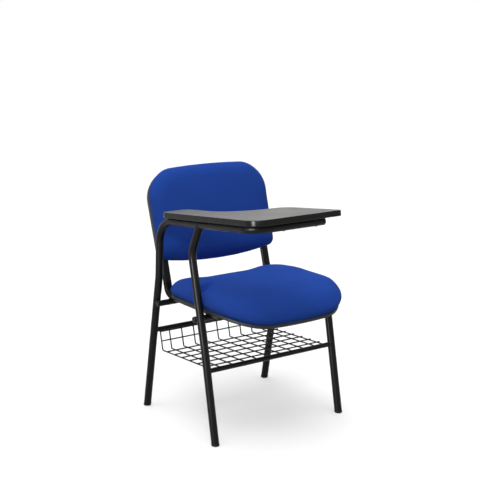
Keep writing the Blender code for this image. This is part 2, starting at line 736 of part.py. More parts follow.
def seat_point(p, height):
    """Place an outline point at a height above the tray's floor, following the front's curve."""
    share = max((WATERFALL_START - p.y) / WATERFALL_RUN, 0.0)
    return Vector((p.x, p.y, TRAY_Z + SHELL_WALL + height - WATERFALL_DROP * share ** WATERFALL_POWER))


def seat_swell(p):
    """Return the seat cushion's share of its crown: full in front, dished towards the rear."""
    share = min(max((p.y - (SEAT_REAR_Y - SEAT_DISH_RUN)) / SEAT_DISH_RUN, 0.0), 1.0)
    return 1 - SEAT_REAR_DISH * share * share * (3 - 2 * share)


def back_outline():
    """Return the backrest's outline, counter-clockwise seen from the front, as (x, height)."""
    low = BACK_BOTTOM
    top = BACK_BOTTOM + BACK_H - BACK_TOP_BOW
    corners = [(BACK_HALF_W, top, BACK_TOP_R), (-BACK_HALF_W, top, BACK_TOP_R),
               (-BACK_BOTTOM_HALF_W, low, BACK_BOTTOM_R), (BACK_BOTTOM_HALF_W, low, BACK_BOTTOM_R)]
    outline = subdivide_outline(fillet_outline(corners), EDGE_STEP)
    middle = (low + top) / 2
    for p in outline:
        bow = BACK_TOP_BOW if p.y > middle else -BACK_BOTTOM_BOW
        share = min(abs(p.y - middle) / (top - middle), 1.0)
        p.y += bow * share ** 4 * (1 - (p.x / BACK_HALF_W) ** 2)
    return outline


def back_point(p, height):
    """Place an outline point in the backrest's frame, at a height in front of the board's back."""
    return Vector((p.x, -(SEAT_TUBE_T / 2 + CLEARANCE + height), p.y))


def flat_swell(_):
    """Return an even crown."""
    return 1.0


def pad_rings(outline, place, swell, crown, shrink, low):
    """Return a cushion's rings from its lowest side ring to the middle of its crown.

    shrink draws the whole skin in, and rings below the low height are raised to it.
    """
    rings = []
    for inset, share in PAD_SECTION:
        ring = shrink_outline(outline, inset + shrink)
        rings.append([place(p, max(crown * share * swell(p) - shrink, low)) for p in ring])
    shoulder = shrink_outline(outline, PAD_SECTION[-1][0] + shrink)
    centre = outline_centre(outline)
    for size, share in PAD_CROWN:
        ring = scale_outline(shoulder, centre, size)
        rings.append([place(p, crown * share * swell(p) - shrink) for p in ring])
    return rings


def cover_part(name, outline, place, swell, crown, mat, parent):
    """Make a cushion's cloth cover: a thin skin, open below, tucked inside the rim."""
    tuck = SHELL_WALL + CLEARANCE
    rise = SHELL_RIM + CLEARANCE
    skins = []
    for shrink in (0.0, COVER_T):
        edge = shrink_outline(outline, tuck + shrink)
        rings = [[place(p, CLEARANCE) for p in edge], [place(p, rise) for p in edge]]
        skins.append(rings + pad_rings(outline, place, swell, crown, shrink, rise + CLEARANCE))
    bm = bmesh.new()
    outside, inside = [[[bm.verts.new(p) for p in ring] for ring in skin] for skin in skins]
    for rows in (outside, inside):
        for low, high in zip(rows, rows[1:]):
            join_rows(bm, low, high)
        bm.faces.new(rows[-1])
    join_rows(bm, outside[0], inside[0])
    bmesh.ops.recalc_face_normals(bm, faces=bm.faces)
    return add_part(name, bm, mat, parent, sharp=SOFT_EDGE_ANGLE)


def foam_part(name, outline, place, swell, crown, floor, bed, mat, parent):
    """Make a cushion's foam block, which fills its cover above the board."""
    shrink = COVER_T + CLEARANCE
    rings = pad_rings(outline, place, swell, crown, shrink, floor + CLEARANCE)
    base = shrink_outline(outline, SHELL_WALL + COVER_T + 2 * CLEARANCE)
    low = bed_rings(base, place, floor + CLEARANCE, bed)
    return add_part(name, loft(low + rings[1:]), mat, parent, sharp=SOFT_EDGE_ANGLE)


def bed_rings(edge, place, height, bed):
    """Return the rings of a layer's face at the bed's sizes, from its inner part out to its edge."""
    centre = outline_centre(edge)
    return [[place(p, height) for p in scale_outline(edge, centre, size)] for size in bed]


def board_part(name, outline, place, thick, bed, mat, parent):
    """Make a plywood board inside a rim and a cover, bent with its seat or back."""
    inset = SHELL_WALL + COVER_T + 2 * CLEARANCE
    edge = shrink_outline(outline, inset)
    low = bed_rings(edge, place, CLEARANCE, bed)
    high = bed_rings(edge, place, CLEARANCE + thick, bed)
    return add_part(name, loft(low + high[::-1]), mat, parent)


def seat_tray(outline, mat, parent):
    """Make the moulded tray under the seat: a floor, a rim round the cushion and a hanging lip."""
    inner = shrink_outline(outline, SHELL_WALL)
    drop = -SHELL_WALL - SEAT_LIP_DROP
    floor_top = bed_rings(inner, seat_point, 0.0, SEAT_BED)
    floor_low = bed_rings(inner, seat_point, -SHELL_WALL, SEAT_BED)
    rim = [[seat_point(p, SHELL_RIM) for p in inner], [seat_point(p, SHELL_RIM) for p in outline],
           [seat_point(p, drop + SHELL_WALL / 2) for p in outline],
           [seat_point(p, drop) for p in shrink_outline(outline, SHELL_WALL / 2)],
           [seat_point(p, drop) for p in inner]]
    return add_part("seat_tray", loft(floor_top + rim + floor_low[::-1]), mat, parent)


def back_shell(outline, mat, parent):
    """Make the moulded shell behind the backrest: a dish that hides the tubes and bolts."""
    centre = outline_centre(outline)
    depth = SEAT_TUBE_T / 2 + BACK_HEAD_ROOM + SEAT_TUBE_T / 2 + CLEARANCE

    def skin(inset, back):
        rings = [[back_point(p, SHELL_RIM) for p in shrink_outline(outline, inset)]]
        for draw, share in BACK_SHELL_SECTION:
            foot = shrink_outline(outline, inset + draw)
            rings.append([back_point(p, -back * share) for p in foot])
        for size, share in BACK_SHELL_CROWN_RINGS:
            ring = scale_outline(foot, centre, size)
            rings.append([back_point(p, -back - BACK_SHELL_CROWN * share) for p in ring])
        return rings

    outside = skin(0.0, depth + SHELL_WALL)
    inside = skin(SHELL_WALL, depth)
    return add_part("back_shell", loft(outside[::-1] + inside), mat, parent)


def bolt_cutter(name, place, low, top, parent):
    """Make the stepped hole of a bolt and its nut, whose board lies between two heights."""
    hole_r = BOLT_D / 2 + CLEARANCE
    barrel_r = NUT_BARREL_D / 2 + CLEARANCE
    flange_r = NUT_FLANGE_D / 2 + CLEARANCE
    step = low - CLEARANCE / 2
    seat_z = top - NUT_FLANGE_T - CLEARANCE
    profile = ((hole_r, -SEAT_TUBE_T), (hole_r, step), (barrel_r, step), (barrel_r, seat_z),
               (flange_r, seat_z), (flange_r, top + COVER_T))
    return add_cutter(name, turned(profile, place), parent)


def bolt_and_nut(name, place, low, top, steel, parent):
    """Make a bolt through a seat tube and the flanged nut it screws into.

    place has its Z axis along the bolt and its origin on the tube's axis; the nut sits between
    the low and top heights, which are the two faces of its board.
    """
    head = -SEAT_TUBE_T / 2 - CLEARANCE
    tip = top - BOLT_TIP_GAP
    head_r = BOLT_HEAD_D / 2
    shank_r = BOLT_D / 2
    bolt = ((head_r - BOLT_CHAMFER, head - BOLT_HEAD_H), (head_r, head - BOLT_HEAD_H + BOLT_CHAMFER),
            (head_r, head), (shank_r, head), (shank_r, tip - BOLT_CHAMFER), (shank_r - BOLT_CHAMFER, tip))
    add_part(f"{name}_bolt", turned(bolt, place), steel, parent)
    bore = shank_r + CLEARANCE
    flange = top - NUT_FLANGE_T
    nut = ((bore, low + CLEARANCE), (NUT_BARREL_D / 2, low + CLEARANCE), (NUT_BARREL_D / 2, flange),
           (NUT_FLANGE_D / 2, flange), (NUT_FLANGE_D / 2, top), (bore, top))
    add_part(f"{name}_nut", turned(nut, place, loop=True), steel, parent)


def seat(finishes, tubes, root):
    """Make the seat: tray, board, foam, cover, bolts and nuts."""
    outline = seat_outline()
    tray = seat_tray(outline, finishes["shell"], root)
    board = board_part("seat_board", outline, seat_point, SEAT_BOARD_T, SEAT_BED, finishes["plywood"], root)
    foam_part("seat_foam", outline, seat_point, seat_swell, SEAT_PAD_H, CLEARANCE + SEAT_BOARD_T,
              SEAT_BED, finishes["foam"], root)
    cover_part("seat_cover", outline, seat_point, seat_swell, SEAT_PAD_H, finishes["cloth"], root)
    low = TRAY_Z + SHELL_WALL + CLEARANCE - SEAT_TUBE_Z
    for side, x, seat_tube, slot in tubes:
        cut(tray, slot)
        for end, y in zip(("front", "rear"), SEAT_BOLT_Y):
            place = Matrix.Translation((x, y, SEAT_TUBE_Z))
            name = f"seat_{end}_{side}"
            cutter = bolt_cutter(name + "_hole", place, low, low + SEAT_BOARD_T, root)
            for piece in (seat_tube, tray, board):
                cut(piece, cutter)
            bolt_and_nut(name, place, low, low + SEAT_BOARD_T, finishes["zinc"], root)


def backrest(finishes, tubes, root):
    """Make the backrest in its leaning frame: shell, board, foam, cover, bolts and nuts."""
    frame = back_matrix()
    group = add_empty("backrest_frame", root, frame.translation, -BACK_TILT)
    outline = back_outline()
    shell = back_shell(outline, finishes["shell"], group)
    board = board_part("back_board", outline, back_point, BACK_BOARD_T, BACK_BED, finishes["plywood"], group)
    foam_part("back_foam", outline, back_point, flat_swell, BACK_PAD_H, CLEARANCE + BACK_BOARD_T,
              BACK_BED, finishes["foam"], group)
    cover_part("back_cover", outline, back_point, flat_swell, BACK_PAD_H, finishes["cloth"], group)
    low = SEAT_TUBE_T / 2 + 2 * CLEARANCE
    forward = Matrix.Rotation(math.radians(90), 4, "X")
    for side, x, seat_tube, slot in tubes:
        cut(shell, slot)
        for end, v in zip(("lower", "upper"), BACK_BOLT_V):
            place = Matrix.Translation((x, 0, v)) @ forward
            name = f"back_{end}_{side}"
            cutter = bolt_cutter(name + "_hole", place, low, low + BACK_BOARD_T, group)
            for piece in (seat_tube, board):
                cut(piece, cutter)
            bolt_and_nut(name, place, low, low + BACK_BOARD_T, finishes["zinc"], group)


def tablet_outline():
    """Return the tablet's outline in its own frame, counter-clockwise from above."""
    right = TABLET_RIGHT_X
    front = -TABLET_LENGTH
    neck = -TABLET_NECK
    arm_left = right + TABLET_ARM_W
    front_left = right + TABLET_FRONT_W
    corners = [(right, 0, TABLET_REAR_R), (right, front, TABLET_FRONT_RIGHT_R),
               (front_left, front, TABLET_FRONT_LEFT_R),
               (front_left - TABLET_TAPER, neck, TABLET_KNEE_R),
               (arm_left, neck, TABLET_COVE_R), (arm_left, 0, TABLET_REAR_R)]
    return fillet_outline(corners, ARC_STEP)


def tablet(finishes, root):
    """Make the writing tablet: its board, edge band and the screws through the arm tube."""
    frame = tablet_matrix()
    group = add_empty("tablet_frame", root, frame.translation, -TABLET_TILT)
    outline = tablet_outline()

    def level(inset, z):
        return [Vector((p.x, p.y, z)) for p in inset_outline(outline, inset)]

    inner = EDGE_BAND_T + CLEARANCE
    board = add_part("tablet_board", loft([level(inner, -TABLET_T), level(inner, 0.0)]),
                     finishes["laminate"], group)
    band = [level(EDGE_BAND_ROUND, -TABLET_T), level(0.0, EDGE_BAND_ROUND - TABLET_T),
            level(0.0, -EDGE_BAND_ROUND), level(EDGE_BAND_ROUND, 0.0), level(EDGE_BAND_T, 0.0),
            level(EDGE_BAND_T, -TABLET_T)]
    add_part("tablet_edge_band", loft(band, loop=True), finishes["edge"], group)

    arm_tube = bpy.data.objects["arm_frame_tube"]
    places = [(-LEG_FRAME_X, y) for y in ARM_SCREW_Y] + [(x, ARM_FRONT_Y) for x in FRONT_SCREW_X]
    hole_r = SCREW_D / 2 + CLEARANCE
    for number, (x, y) in enumerate(places, start=1):
        centre = frame.inverted() @ arm_point(x, y)
        place = Matrix.Translation(centre)
        tip = LEG_R + CLEARANCE + SCREW_BITE
        head = -LEG_R - CLEARANCE
        hole = ((hole_r, -LEG_TUBE_D), (hole_r, tip + CLEARANCE))
        cutter = add_cutter(f"tablet_screw_hole_{number}", turned(hole, place), group)
        cut(arm_tube, cutter)
        cut(board, cutter)
        screw = ((SCREW_HEAD_TOP_D / 2, head - SCREW_HEAD_H), (SCREW_HEAD_D / 2, head - SCREW_HEAD_H / 2),
                 (SCREW_HEAD_D / 2, head), (SCREW_D / 2, head), (SCREW_D / 2, tip - SCREW_D),
                 (SCREW_TIP_D / 2, tip))
        add_part(f"tablet_screw_{number}", turned(screw, place), finishes["zinc"], group)


def centre_over_origin(root):
    """Move the root so that the chair's box stands centred on the origin."""
    bpy.context.view_layer.update()
    corners = [obj.matrix_world @ vertex.co for obj in bpy.data.objects
               if obj.type == "MESH" and not obj.hide_render for vertex in obj.data.vertices]
    for axis in (0, 1):
        values = [c[axis] for c in corners]
        root.location[axis] = -(min(values) + max(values)) / 2


def main():
    """Build the chair."""
    for obj in list(bpy.data.objects):
        bpy.data.objects.remove(obj, do_unlink=True)
    finishes = {
        "steel": material("black_painted_steel", (0.020, 0.020, 0.021), 0.35, 0.0),
        "plug": material("black_plug_plastic", (0.018, 0.018, 0.018), 0.50),
        "shell": material("black_shell_plastic", (0.022, 0.022, 0.023), 0.55),
        "cloth": material("blue_cloth", (0.018, 0.060, 0.300), 0.90),
        "foam": material("foam", (0.72, 0.68, 0.50), 0.95),
        "plywood": material("plywood", (0.50, 0.36, 0.22), 0.70),
        "laminate": material("grey_laminate", (0.14, 0.14, 0.135), 0.40),
        "edge": material("black_edge_band", (0.022, 0.022, 0.022), 0.45),
        "zinc": material("zinc_plated_steel", (0.60, 0.60, 0.62), 0.35, 1.0),
    }
    root = add_empty("chair")
    leg_frames(finishes["steel"], root)
    foot_glides(finishes["plug"], root)
    cross_tubes(finishes["steel"], finishes["plug"], root)
    tubes = seat_tubes(finishes["steel"], finishes["plug"], root)
    arm_end_cap(finishes["plug"], root)
    basket_bars(finishes["steel"], root)
    book_basket(finishes["steel"], root)
    seat(finishes, tubes, root)
    backrest(finishes, tubes, root)
    tablet(finishes, root)
    centre_over_origin(root)


main()
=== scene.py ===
"""Tablet arm chair, dressed: tubes, wires, cushions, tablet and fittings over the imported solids.

All sizes are metres in the chair's own frame: x = 0 is the middle of the seat, the sitter faces
-Y, +X is the sitter's left and z = 0 is the floor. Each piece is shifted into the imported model's
frame when its mesh is made.
"""

import logging
import math
from abc import ABC, abstractmethod
from dataclasses import dataclass, field
from enum import Enum
from typing import Any, Sequence

import bmesh
import bpy
import numpy as np
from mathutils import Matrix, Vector
from numpy.typing import NDArray


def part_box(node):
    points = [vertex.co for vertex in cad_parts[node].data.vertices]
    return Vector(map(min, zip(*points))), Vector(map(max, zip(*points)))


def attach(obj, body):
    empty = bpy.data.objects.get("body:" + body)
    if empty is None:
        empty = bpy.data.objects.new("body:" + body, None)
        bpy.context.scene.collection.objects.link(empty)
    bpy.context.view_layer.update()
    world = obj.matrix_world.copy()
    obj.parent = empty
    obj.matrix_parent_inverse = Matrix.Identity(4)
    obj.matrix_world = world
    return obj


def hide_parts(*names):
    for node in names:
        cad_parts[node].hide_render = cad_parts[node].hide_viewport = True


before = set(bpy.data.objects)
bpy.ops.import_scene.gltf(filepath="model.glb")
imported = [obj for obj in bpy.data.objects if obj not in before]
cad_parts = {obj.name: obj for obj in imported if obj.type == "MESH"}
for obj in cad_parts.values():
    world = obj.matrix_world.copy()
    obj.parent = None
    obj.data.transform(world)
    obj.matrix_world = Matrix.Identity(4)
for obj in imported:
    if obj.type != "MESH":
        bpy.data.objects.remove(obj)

Array = NDArray[np.float64]
LOG = logging.getLogger("tablet_arm_chair")
BODY = "root"
CLOTH_MAP = "cloth"
ARC_STEP = math.radians(4.0)
BEAD_SIDES = 10
BEAD_RIPPLE = 0.10
BEAD_WAVE = 6.0


class Slot(Enum):
    """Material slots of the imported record."""

    STEEL = "steel"
    PLUG = "plug"
    SHELL = "shell"
    CLOTH = "cloth"
    PLYWOOD = "plywood"
    LAMINATE = "laminate"
    EDGE = "edge"
    ZINC = "zinc"


class Recess(Enum):
    """Shape of the tool recess in a fastener's head."""

    HEXAGON = "hexagon"
    CROSS = "cross"


Looks = dict[Slot, bpy.types.Material]


# Arrays and meshes


def unit(vectors: Array) -> Array:
    """Return vectors scaled to length 1."""
    return vectors / np.linalg.norm(vectors, axis=-1, keepdims=True)


def vec(x: float, y: float, z: float) -> Array:
    """Return a point or direction as an array."""
    return np.array((x, y, z), dtype=float)


def smoothstep(value: Array, low: float, high: float) -> Array:
    """Return 0 below low, 1 above high and an S-curve between."""
    t = np.clip((value - low) / (high - low), 0.0, 1.0)
    return t * t * (3.0 - 2.0 * t)


def bell(value: Array, centre: float, width: float) -> Array:
    """Return a Gaussian bump of height 1."""
    return np.exp(-(((value - centre) / width) ** 2))


@dataclass
class Skin:
    """A surface ready to become a mesh.

    Attributes:
        points: vertex positions, one row each.
        faces: vertex numbers of each face.
        uv: optional place of each vertex on the cloth, in metres.
    """

    points: Array
    faces: list[list[int]]
    uv: Array | None = None

    @staticmethod
    def join(skins: Sequence["Skin"]) -> "Skin":
        """Return several surfaces as one.

        Args:
            skins: the surfaces, without cloth maps.

        Returns:
            The joined surface.
        """
        starts = np.cumsum([0] + [len(s.points) for s in skins[:-1]])
        faces = [[i + int(a) for i in f] for s, a in zip(skins, starts) for f in s.faces]
        return Skin(np.concatenate([s.points for s in skins]), faces)

    def turned(self, tilt: float, origin: Array) -> "Skin":
        """Return the surface turned about X and moved, as a leaning part's frame is.

        Args:
            tilt: angle about X; a positive one tips +Z towards +Y.
            origin: where the part's own origin goes.

        Returns:
            The placed surface.
        """
        c, s = math.cos(tilt), math.sin(tilt)
        turn = np.array(((1, 0, 0), (0, c, s), (0, -s, c)))
        return Skin(self.points @ turn.T + origin, self.faces, self.uv)


def ring_quads(rows: int, cols: int, loop: bool = False) -> list[list[int]]:
    """Return the four-sided faces that join rows of closed rings, each ring to the next one.

    Args:
        rows: how many rings.
        cols: points on each ring.
        loop: True if the last ring joins the first.

    Returns:
        Vertex numbers of each face.
    """
    r = np.arange(rows if loop else rows - 1)[:, None]
    c = np.arange(cols)[None, :]
    n, d = (r + 1) % rows, (c + 1) % cols
    return np.stack((r * cols + c, r * cols + d, n * cols + d, n * cols + c), -1).reshape(-1, 4).tolist()


def rings_skin(rings: Array, loop: bool = False) -> Skin:
    """Return the surface over equal rings, closed on itself or with a flat face at both ends.

    Args:
        rings: positions as (row, place on the ring, 3).
        loop: True if the last ring joins the first.

    Returns:
        The closed surface.
    """
    rows, cols, _ = rings.shape
    faces = ring_quads(rows, cols, loop)
    if not loop:
        faces.append(list(range(cols))[::-1])
        faces.append(list(range((rows - 1) * cols, rows * cols)))
    return Skin(rings.reshape(-1, 3), faces)


def circle(radius: float, sides: int) -> Array:
    """Return a circle as (across, up) pairs."""
    a = np.linspace(0.0, 2.0 * math.pi, sides, endpoint=False)
    return radius * np.stack((np.cos(a), np.sin(a)), -1)


def oval(width: float, thick: float, per_end: int = 14) -> Array:
    """Return a flat oval with half-round ends, wide along its first axis.

    Args:
        width: its whole width.
        thick: its thickness, which its ends are round over.
        per_end: points on each end.

    Returns:
        Outline points, one (across, up) row each.
    """
    a = np.linspace(-0.5 * math.pi, 0.5 * math.pi, per_end)
    end = np.stack((width / 2 - thick / 2 + thick / 2 * np.cos(a), thick / 2 * np.sin(a)), -1)
    return np.concatenate((end, -end))


def bent_path(corners: Sequence[tuple[Array, float]], step: float = ARC_STEP) -> tuple[Array, Array]:
    """Return stations and directions along straight runs joined by arcs.

    Each corner is cut back by radius x tan(turn / 2), and the arc turns the incoming direction
    about the corner's axis in equal steps.

    Args:
        corners: (point, bend radius) pairs; the radii of the two ends are ignored.
        step: the largest turn between two stations.

    Returns:
        Positions and unit directions, one row per station.
    """
    spots = [corners[0][0][None]]
    ways = [unit(corners[1][0] - corners[0][0])[None]]
    for (before, _), (corner, radius), (after, _) in zip(corners, corners[1:], corners[2:]):
        d_in, d_out = unit(corner - before), unit(after - corner)
        turn = math.acos(float(np.clip(d_in @ d_out, -1, 1)))
        inward = unit(d_out - d_in * (d_in @ d_out))
        start = corner - d_in * radius * math.tan(turn / 2)
        a = np.linspace(0.0, turn, max(3, math.ceil(turn / step) + 1))[:, None]
        spots.append(start + radius * (np.sin(a) * d_in + (1 - np.cos(a)) * inward))
        ways.append(np.cos(a) * d_in + np.sin(a) * inward)
    spots.append(corners[-1][0][None])
    ways.append(unit(corners[-1][0] - corners[-2][0])[None])
    return np.concatenate(spots), np.concatenate(ways)


def sweep(stations: Array, ways: Array, profile: Array, across: Array) -> Array:
    """Return rings of a profile carried along a path without twist.

    At each station the profile's first axis is the last one with its part along the path taken
    out, and its second axis is the path's direction crossed with the first.

    Args:
        stations: positions on the path.
        ways: unit directions of the path.
        profile: (first, second) pairs.
        across: the first axis at the path's start.

    Returns:
        Rings as (station, place on the profile, 3).
    """
    sides = np.empty_like(stations)
    side = across
    for i, way in enumerate(ways):
        side = unit(side - way * (side @ way))
        sides[i] = side
    ups = np.cross(ways, sides)
    return stations[:, None] + profile[None, :, :1] * sides[:, None] + profile[None, :, 1:] * ups[:, None]


def tube_skin(corners: Sequence[tuple[Array, float]], profile: Array, across: Array) -> Skin:
    """Return a closed tube along a bent path."""
    return rings_skin(sweep(*bent_path(corners), profile, across))


def rounded_polygon(corners: Sequence[tuple[float, float, float]], step: float = ARC_STEP) -> Array:
    """Return a closed outline whose (x, y, radius) corners are turned into arcs.

    Args:
        corners: corner points in order, each with its radius.
        step: the largest turn between two points of an arc.

    Returns:
        Outline points, one (x, y) row each.
    """
    parts = []
    for i, (x, y, radius) in enumerate(corners):
        before, after = corners[i - 1], corners[(i + 1) % len(corners)]
        path, _ = bent_path([(vec(before[0], before[1], 0), 0), (vec(x, y, 0), radius),
                             (vec(after[0], after[1], 0), 0)], step)
        parts.append(path[1:-1, :2])
    return np.concatenate(parts)


def spread_points(outline: Array, count: int) -> Array:
    """Return a closed outline drawn again with points at equal distances along it.

    Args:
        outline: its points, one (x, y) row each.
        count: how many points to return.

    Returns:
        The new points.
    """
    closed = np.concatenate((outline, outline[:1]))
    run = np.concatenate(([0.0], np.cumsum(np.linalg.norm(np.diff(closed, axis=0), axis=1))))
    at = np.linspace(0.0, run[-1], count, endpoint=False)
    return np.stack((np.interp(at, run, closed[:, 0]), np.interp(at, run, closed[:, 1])), -1)


def smooth_curve(knots: Array, samples: int) -> Array:
    """Return a smooth curve through knots at equal steps of its length.

    Between two knots it is a cubic whose slopes at the knots are those of the chord between
    their neighbours, with the chord lengths as the parameter.

    Args:
        knots: points in any number of dimensions, one row each.
        samples: how many points to return.

    Returns:
        Points on the curve.
    """
    run = np.concatenate(([0.0], np.cumsum(np.linalg.norm(np.diff(knots, axis=0), axis=1))))
    slope = np.gradient(knots, run, axis=0)

    def at(s: Array) -> Array:
        """Return the curve's points at places along the chords.

        Args:
            s: the places.

        Returns:
            Points, one row each.
        """
        i = np.clip(np.searchsorted(run, s, side="right") - 1, 0, len(run) - 2)
        h = (run[i + 1] - run[i])[:, None]
        t = (s - run[i])[:, None] / h
        return ((1 + 2 * t) * (1 - t) ** 2 * knots[i] + t * (1 - t) ** 2 * h * slope[i]
                + t * t * (3 - 2 * t) * knots[i + 1] + t * t * (t - 1) * h * slope[i + 1])

    fine = np.linspace(0.0, run[-1], 40 * len(knots))
    length = np.concatenate(([0.0], np.cumsum(np.linalg.norm(np.diff(at(fine), axis=0), axis=1))))
    return at(np.interp(np.linspace(0.0, length[-1], samples), length, fine))


class Workshop:
    """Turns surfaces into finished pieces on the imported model."""

    def __init__(self, looks: Looks) -> None:
        """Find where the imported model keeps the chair's own origin.

        Args:
            looks: each slot's material.
        """
        self.looks = looks
        left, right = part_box("left_leg_frame"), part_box("front_right_leg")
        middle = ((left[0].x + right[1].x) / 2 + (left[1].x + right[0].x) / 2) / 2
        self.shift = vec(middle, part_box("seat_tray")[1].y - SeatForm().rear_y, 0)

    def piece(self, name: str, skin: Skin, slot: Slot, replaces: Sequence[str] = (),
              sharp: float = 35.0) -> bpy.types.Object:
        """Make a piece that rides on the chair, in its slot's finish.

        Args:
            name: the piece's name.
            skin: its surface in the chair's own frame.
            slot: the record's slot of its finish.
            replaces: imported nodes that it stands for.
            sharp: edges that turn by more degrees than this stay crisp.

        Returns:
            The new object, at the origin.
        """
        mesh = bpy.data.meshes.new(name)
        mesh.from_pydata((skin.points + self.shift).tolist(), [], skin.faces)
        shape = bmesh.new()
        shape.from_mesh(mesh)
        bmesh.ops.recalc_face_normals(shape, faces=shape.faces)
        shape.to_mesh(mesh)
        shape.free()
        mesh.shade_smooth()
        mesh.set_sharp_from_angle(angle=math.radians(sharp))
        if skin.uv is not None:
            corner = np.empty(len(mesh.loops), dtype=np.int32)
            mesh.loops.foreach_get("vertex_index", corner)
            layer = mesh.uv_layers.new(name=CLOTH_MAP)
            layer.data.foreach_set("uv", skin.uv[corner].astype(np.float32).ravel())
        mesh.materials.append(self.looks[slot])
        obj = bpy.data.objects.new(name, mesh)
        bpy.context.scene.collection.objects.link(obj)
        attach(obj, BODY)
        if replaces:
            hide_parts(*replaces)
        LOG.info("%s: %d faces", name, len(mesh.polygons))
        return obj


# Finishes


class NodeSheet:
    """Lays out the nodes of a material or a node group."""

    def __init__(self, tree: bpy.types.NodeTree) -> None:
        """Keep the tree that the nodes go into."""
        self.tree = tree

    def feed(self, node: bpy.types.Node, values: dict[Any, Any]) -> None:
        """Set a node's inputs.

        Args:
            node: the node.
            values: socket name or number to a value, or to an output socket that feeds it.
        """
        for key, value in values.items():
            if isinstance(value, bpy.types.NodeSocket):
                self.tree.links.new(value, node.inputs[key])
            else:
                node.inputs[key].default_value = value

    def add(self, kind: str, values: dict[Any, Any] | None = None, **settings: Any) -> bpy.types.Node:
        """Add a node.

        Args:
            kind: the node's type name.
            values: its inputs, as feed takes them.
            settings: the node's own options.

        Returns:
            The new node.
        """
        node = self.tree.nodes.new(kind)
        for key, value in settings.items():
            setattr(node, key, value)
        self.feed(node, values or {})
        return node

    def effect(self, group: bpy.types.NodeTree, **values: Any) -> bpy.types.Node:
        """Place a shared effect with its own values."""
        return self.add("ShaderNodeGroup", values, node_tree=group)

    def math(self, operation: str, a: Any, b: Any = 0.0, c: Any = 0.0) -> bpy.types.NodeSocket:
        """Add a Math node and return its result."""
        return self.add("ShaderNodeMath", {0: a, 1: b, 2: c}, operation=operation).outputs[0]

    def vector(self, operation: str, values: dict[int, Any]) -> bpy.types.NodeSocket:
        """Add a Vector Math node and return its result."""
        return self.add("ShaderNodeVectorMath", values, operation=operation).outputs[0]

    def remap(self, value: Any, low: float, high: float, to_low: float = 0.0,
              to_high: float = 1.0) -> bpy.types.NodeSocket:
        """Add a Map Range node and return its result."""
        node = self.add("ShaderNodeMapRange", {"Value": value, "From Min": low, "From Max": high,
                                               "To Min": to_low, "To Max": to_high})
        return node.outputs["Result"]

    def noise(self, vector: Any, scale: Any, detail: float = 2.0, rough: float = 0.5) -> bpy.types.NodeSocket:
        """Add a Noise Texture and return its value."""
        node = self.add("ShaderNodeTexNoise", {"Vector": vector, "Scale": scale, "Detail": detail,
                                               "Roughness": rough})
        return node.outputs["Fac"]

    def mix(self, factor: Any, a: Any, b: Any) -> bpy.types.NodeSocket:
        """Add a colour Mix node and return its result."""
        return self.add("ShaderNodeMix", {0: factor, 6: a, 7: b}, data_type="RGBA").outputs[2]

    def normal(self, height: Any, depth: float) -> bpy.types.NodeSocket:
        """Add a Bump node and return its normal."""
        return self.add("ShaderNodeBump", {"Height": height, "Distance": depth}).outputs[0]


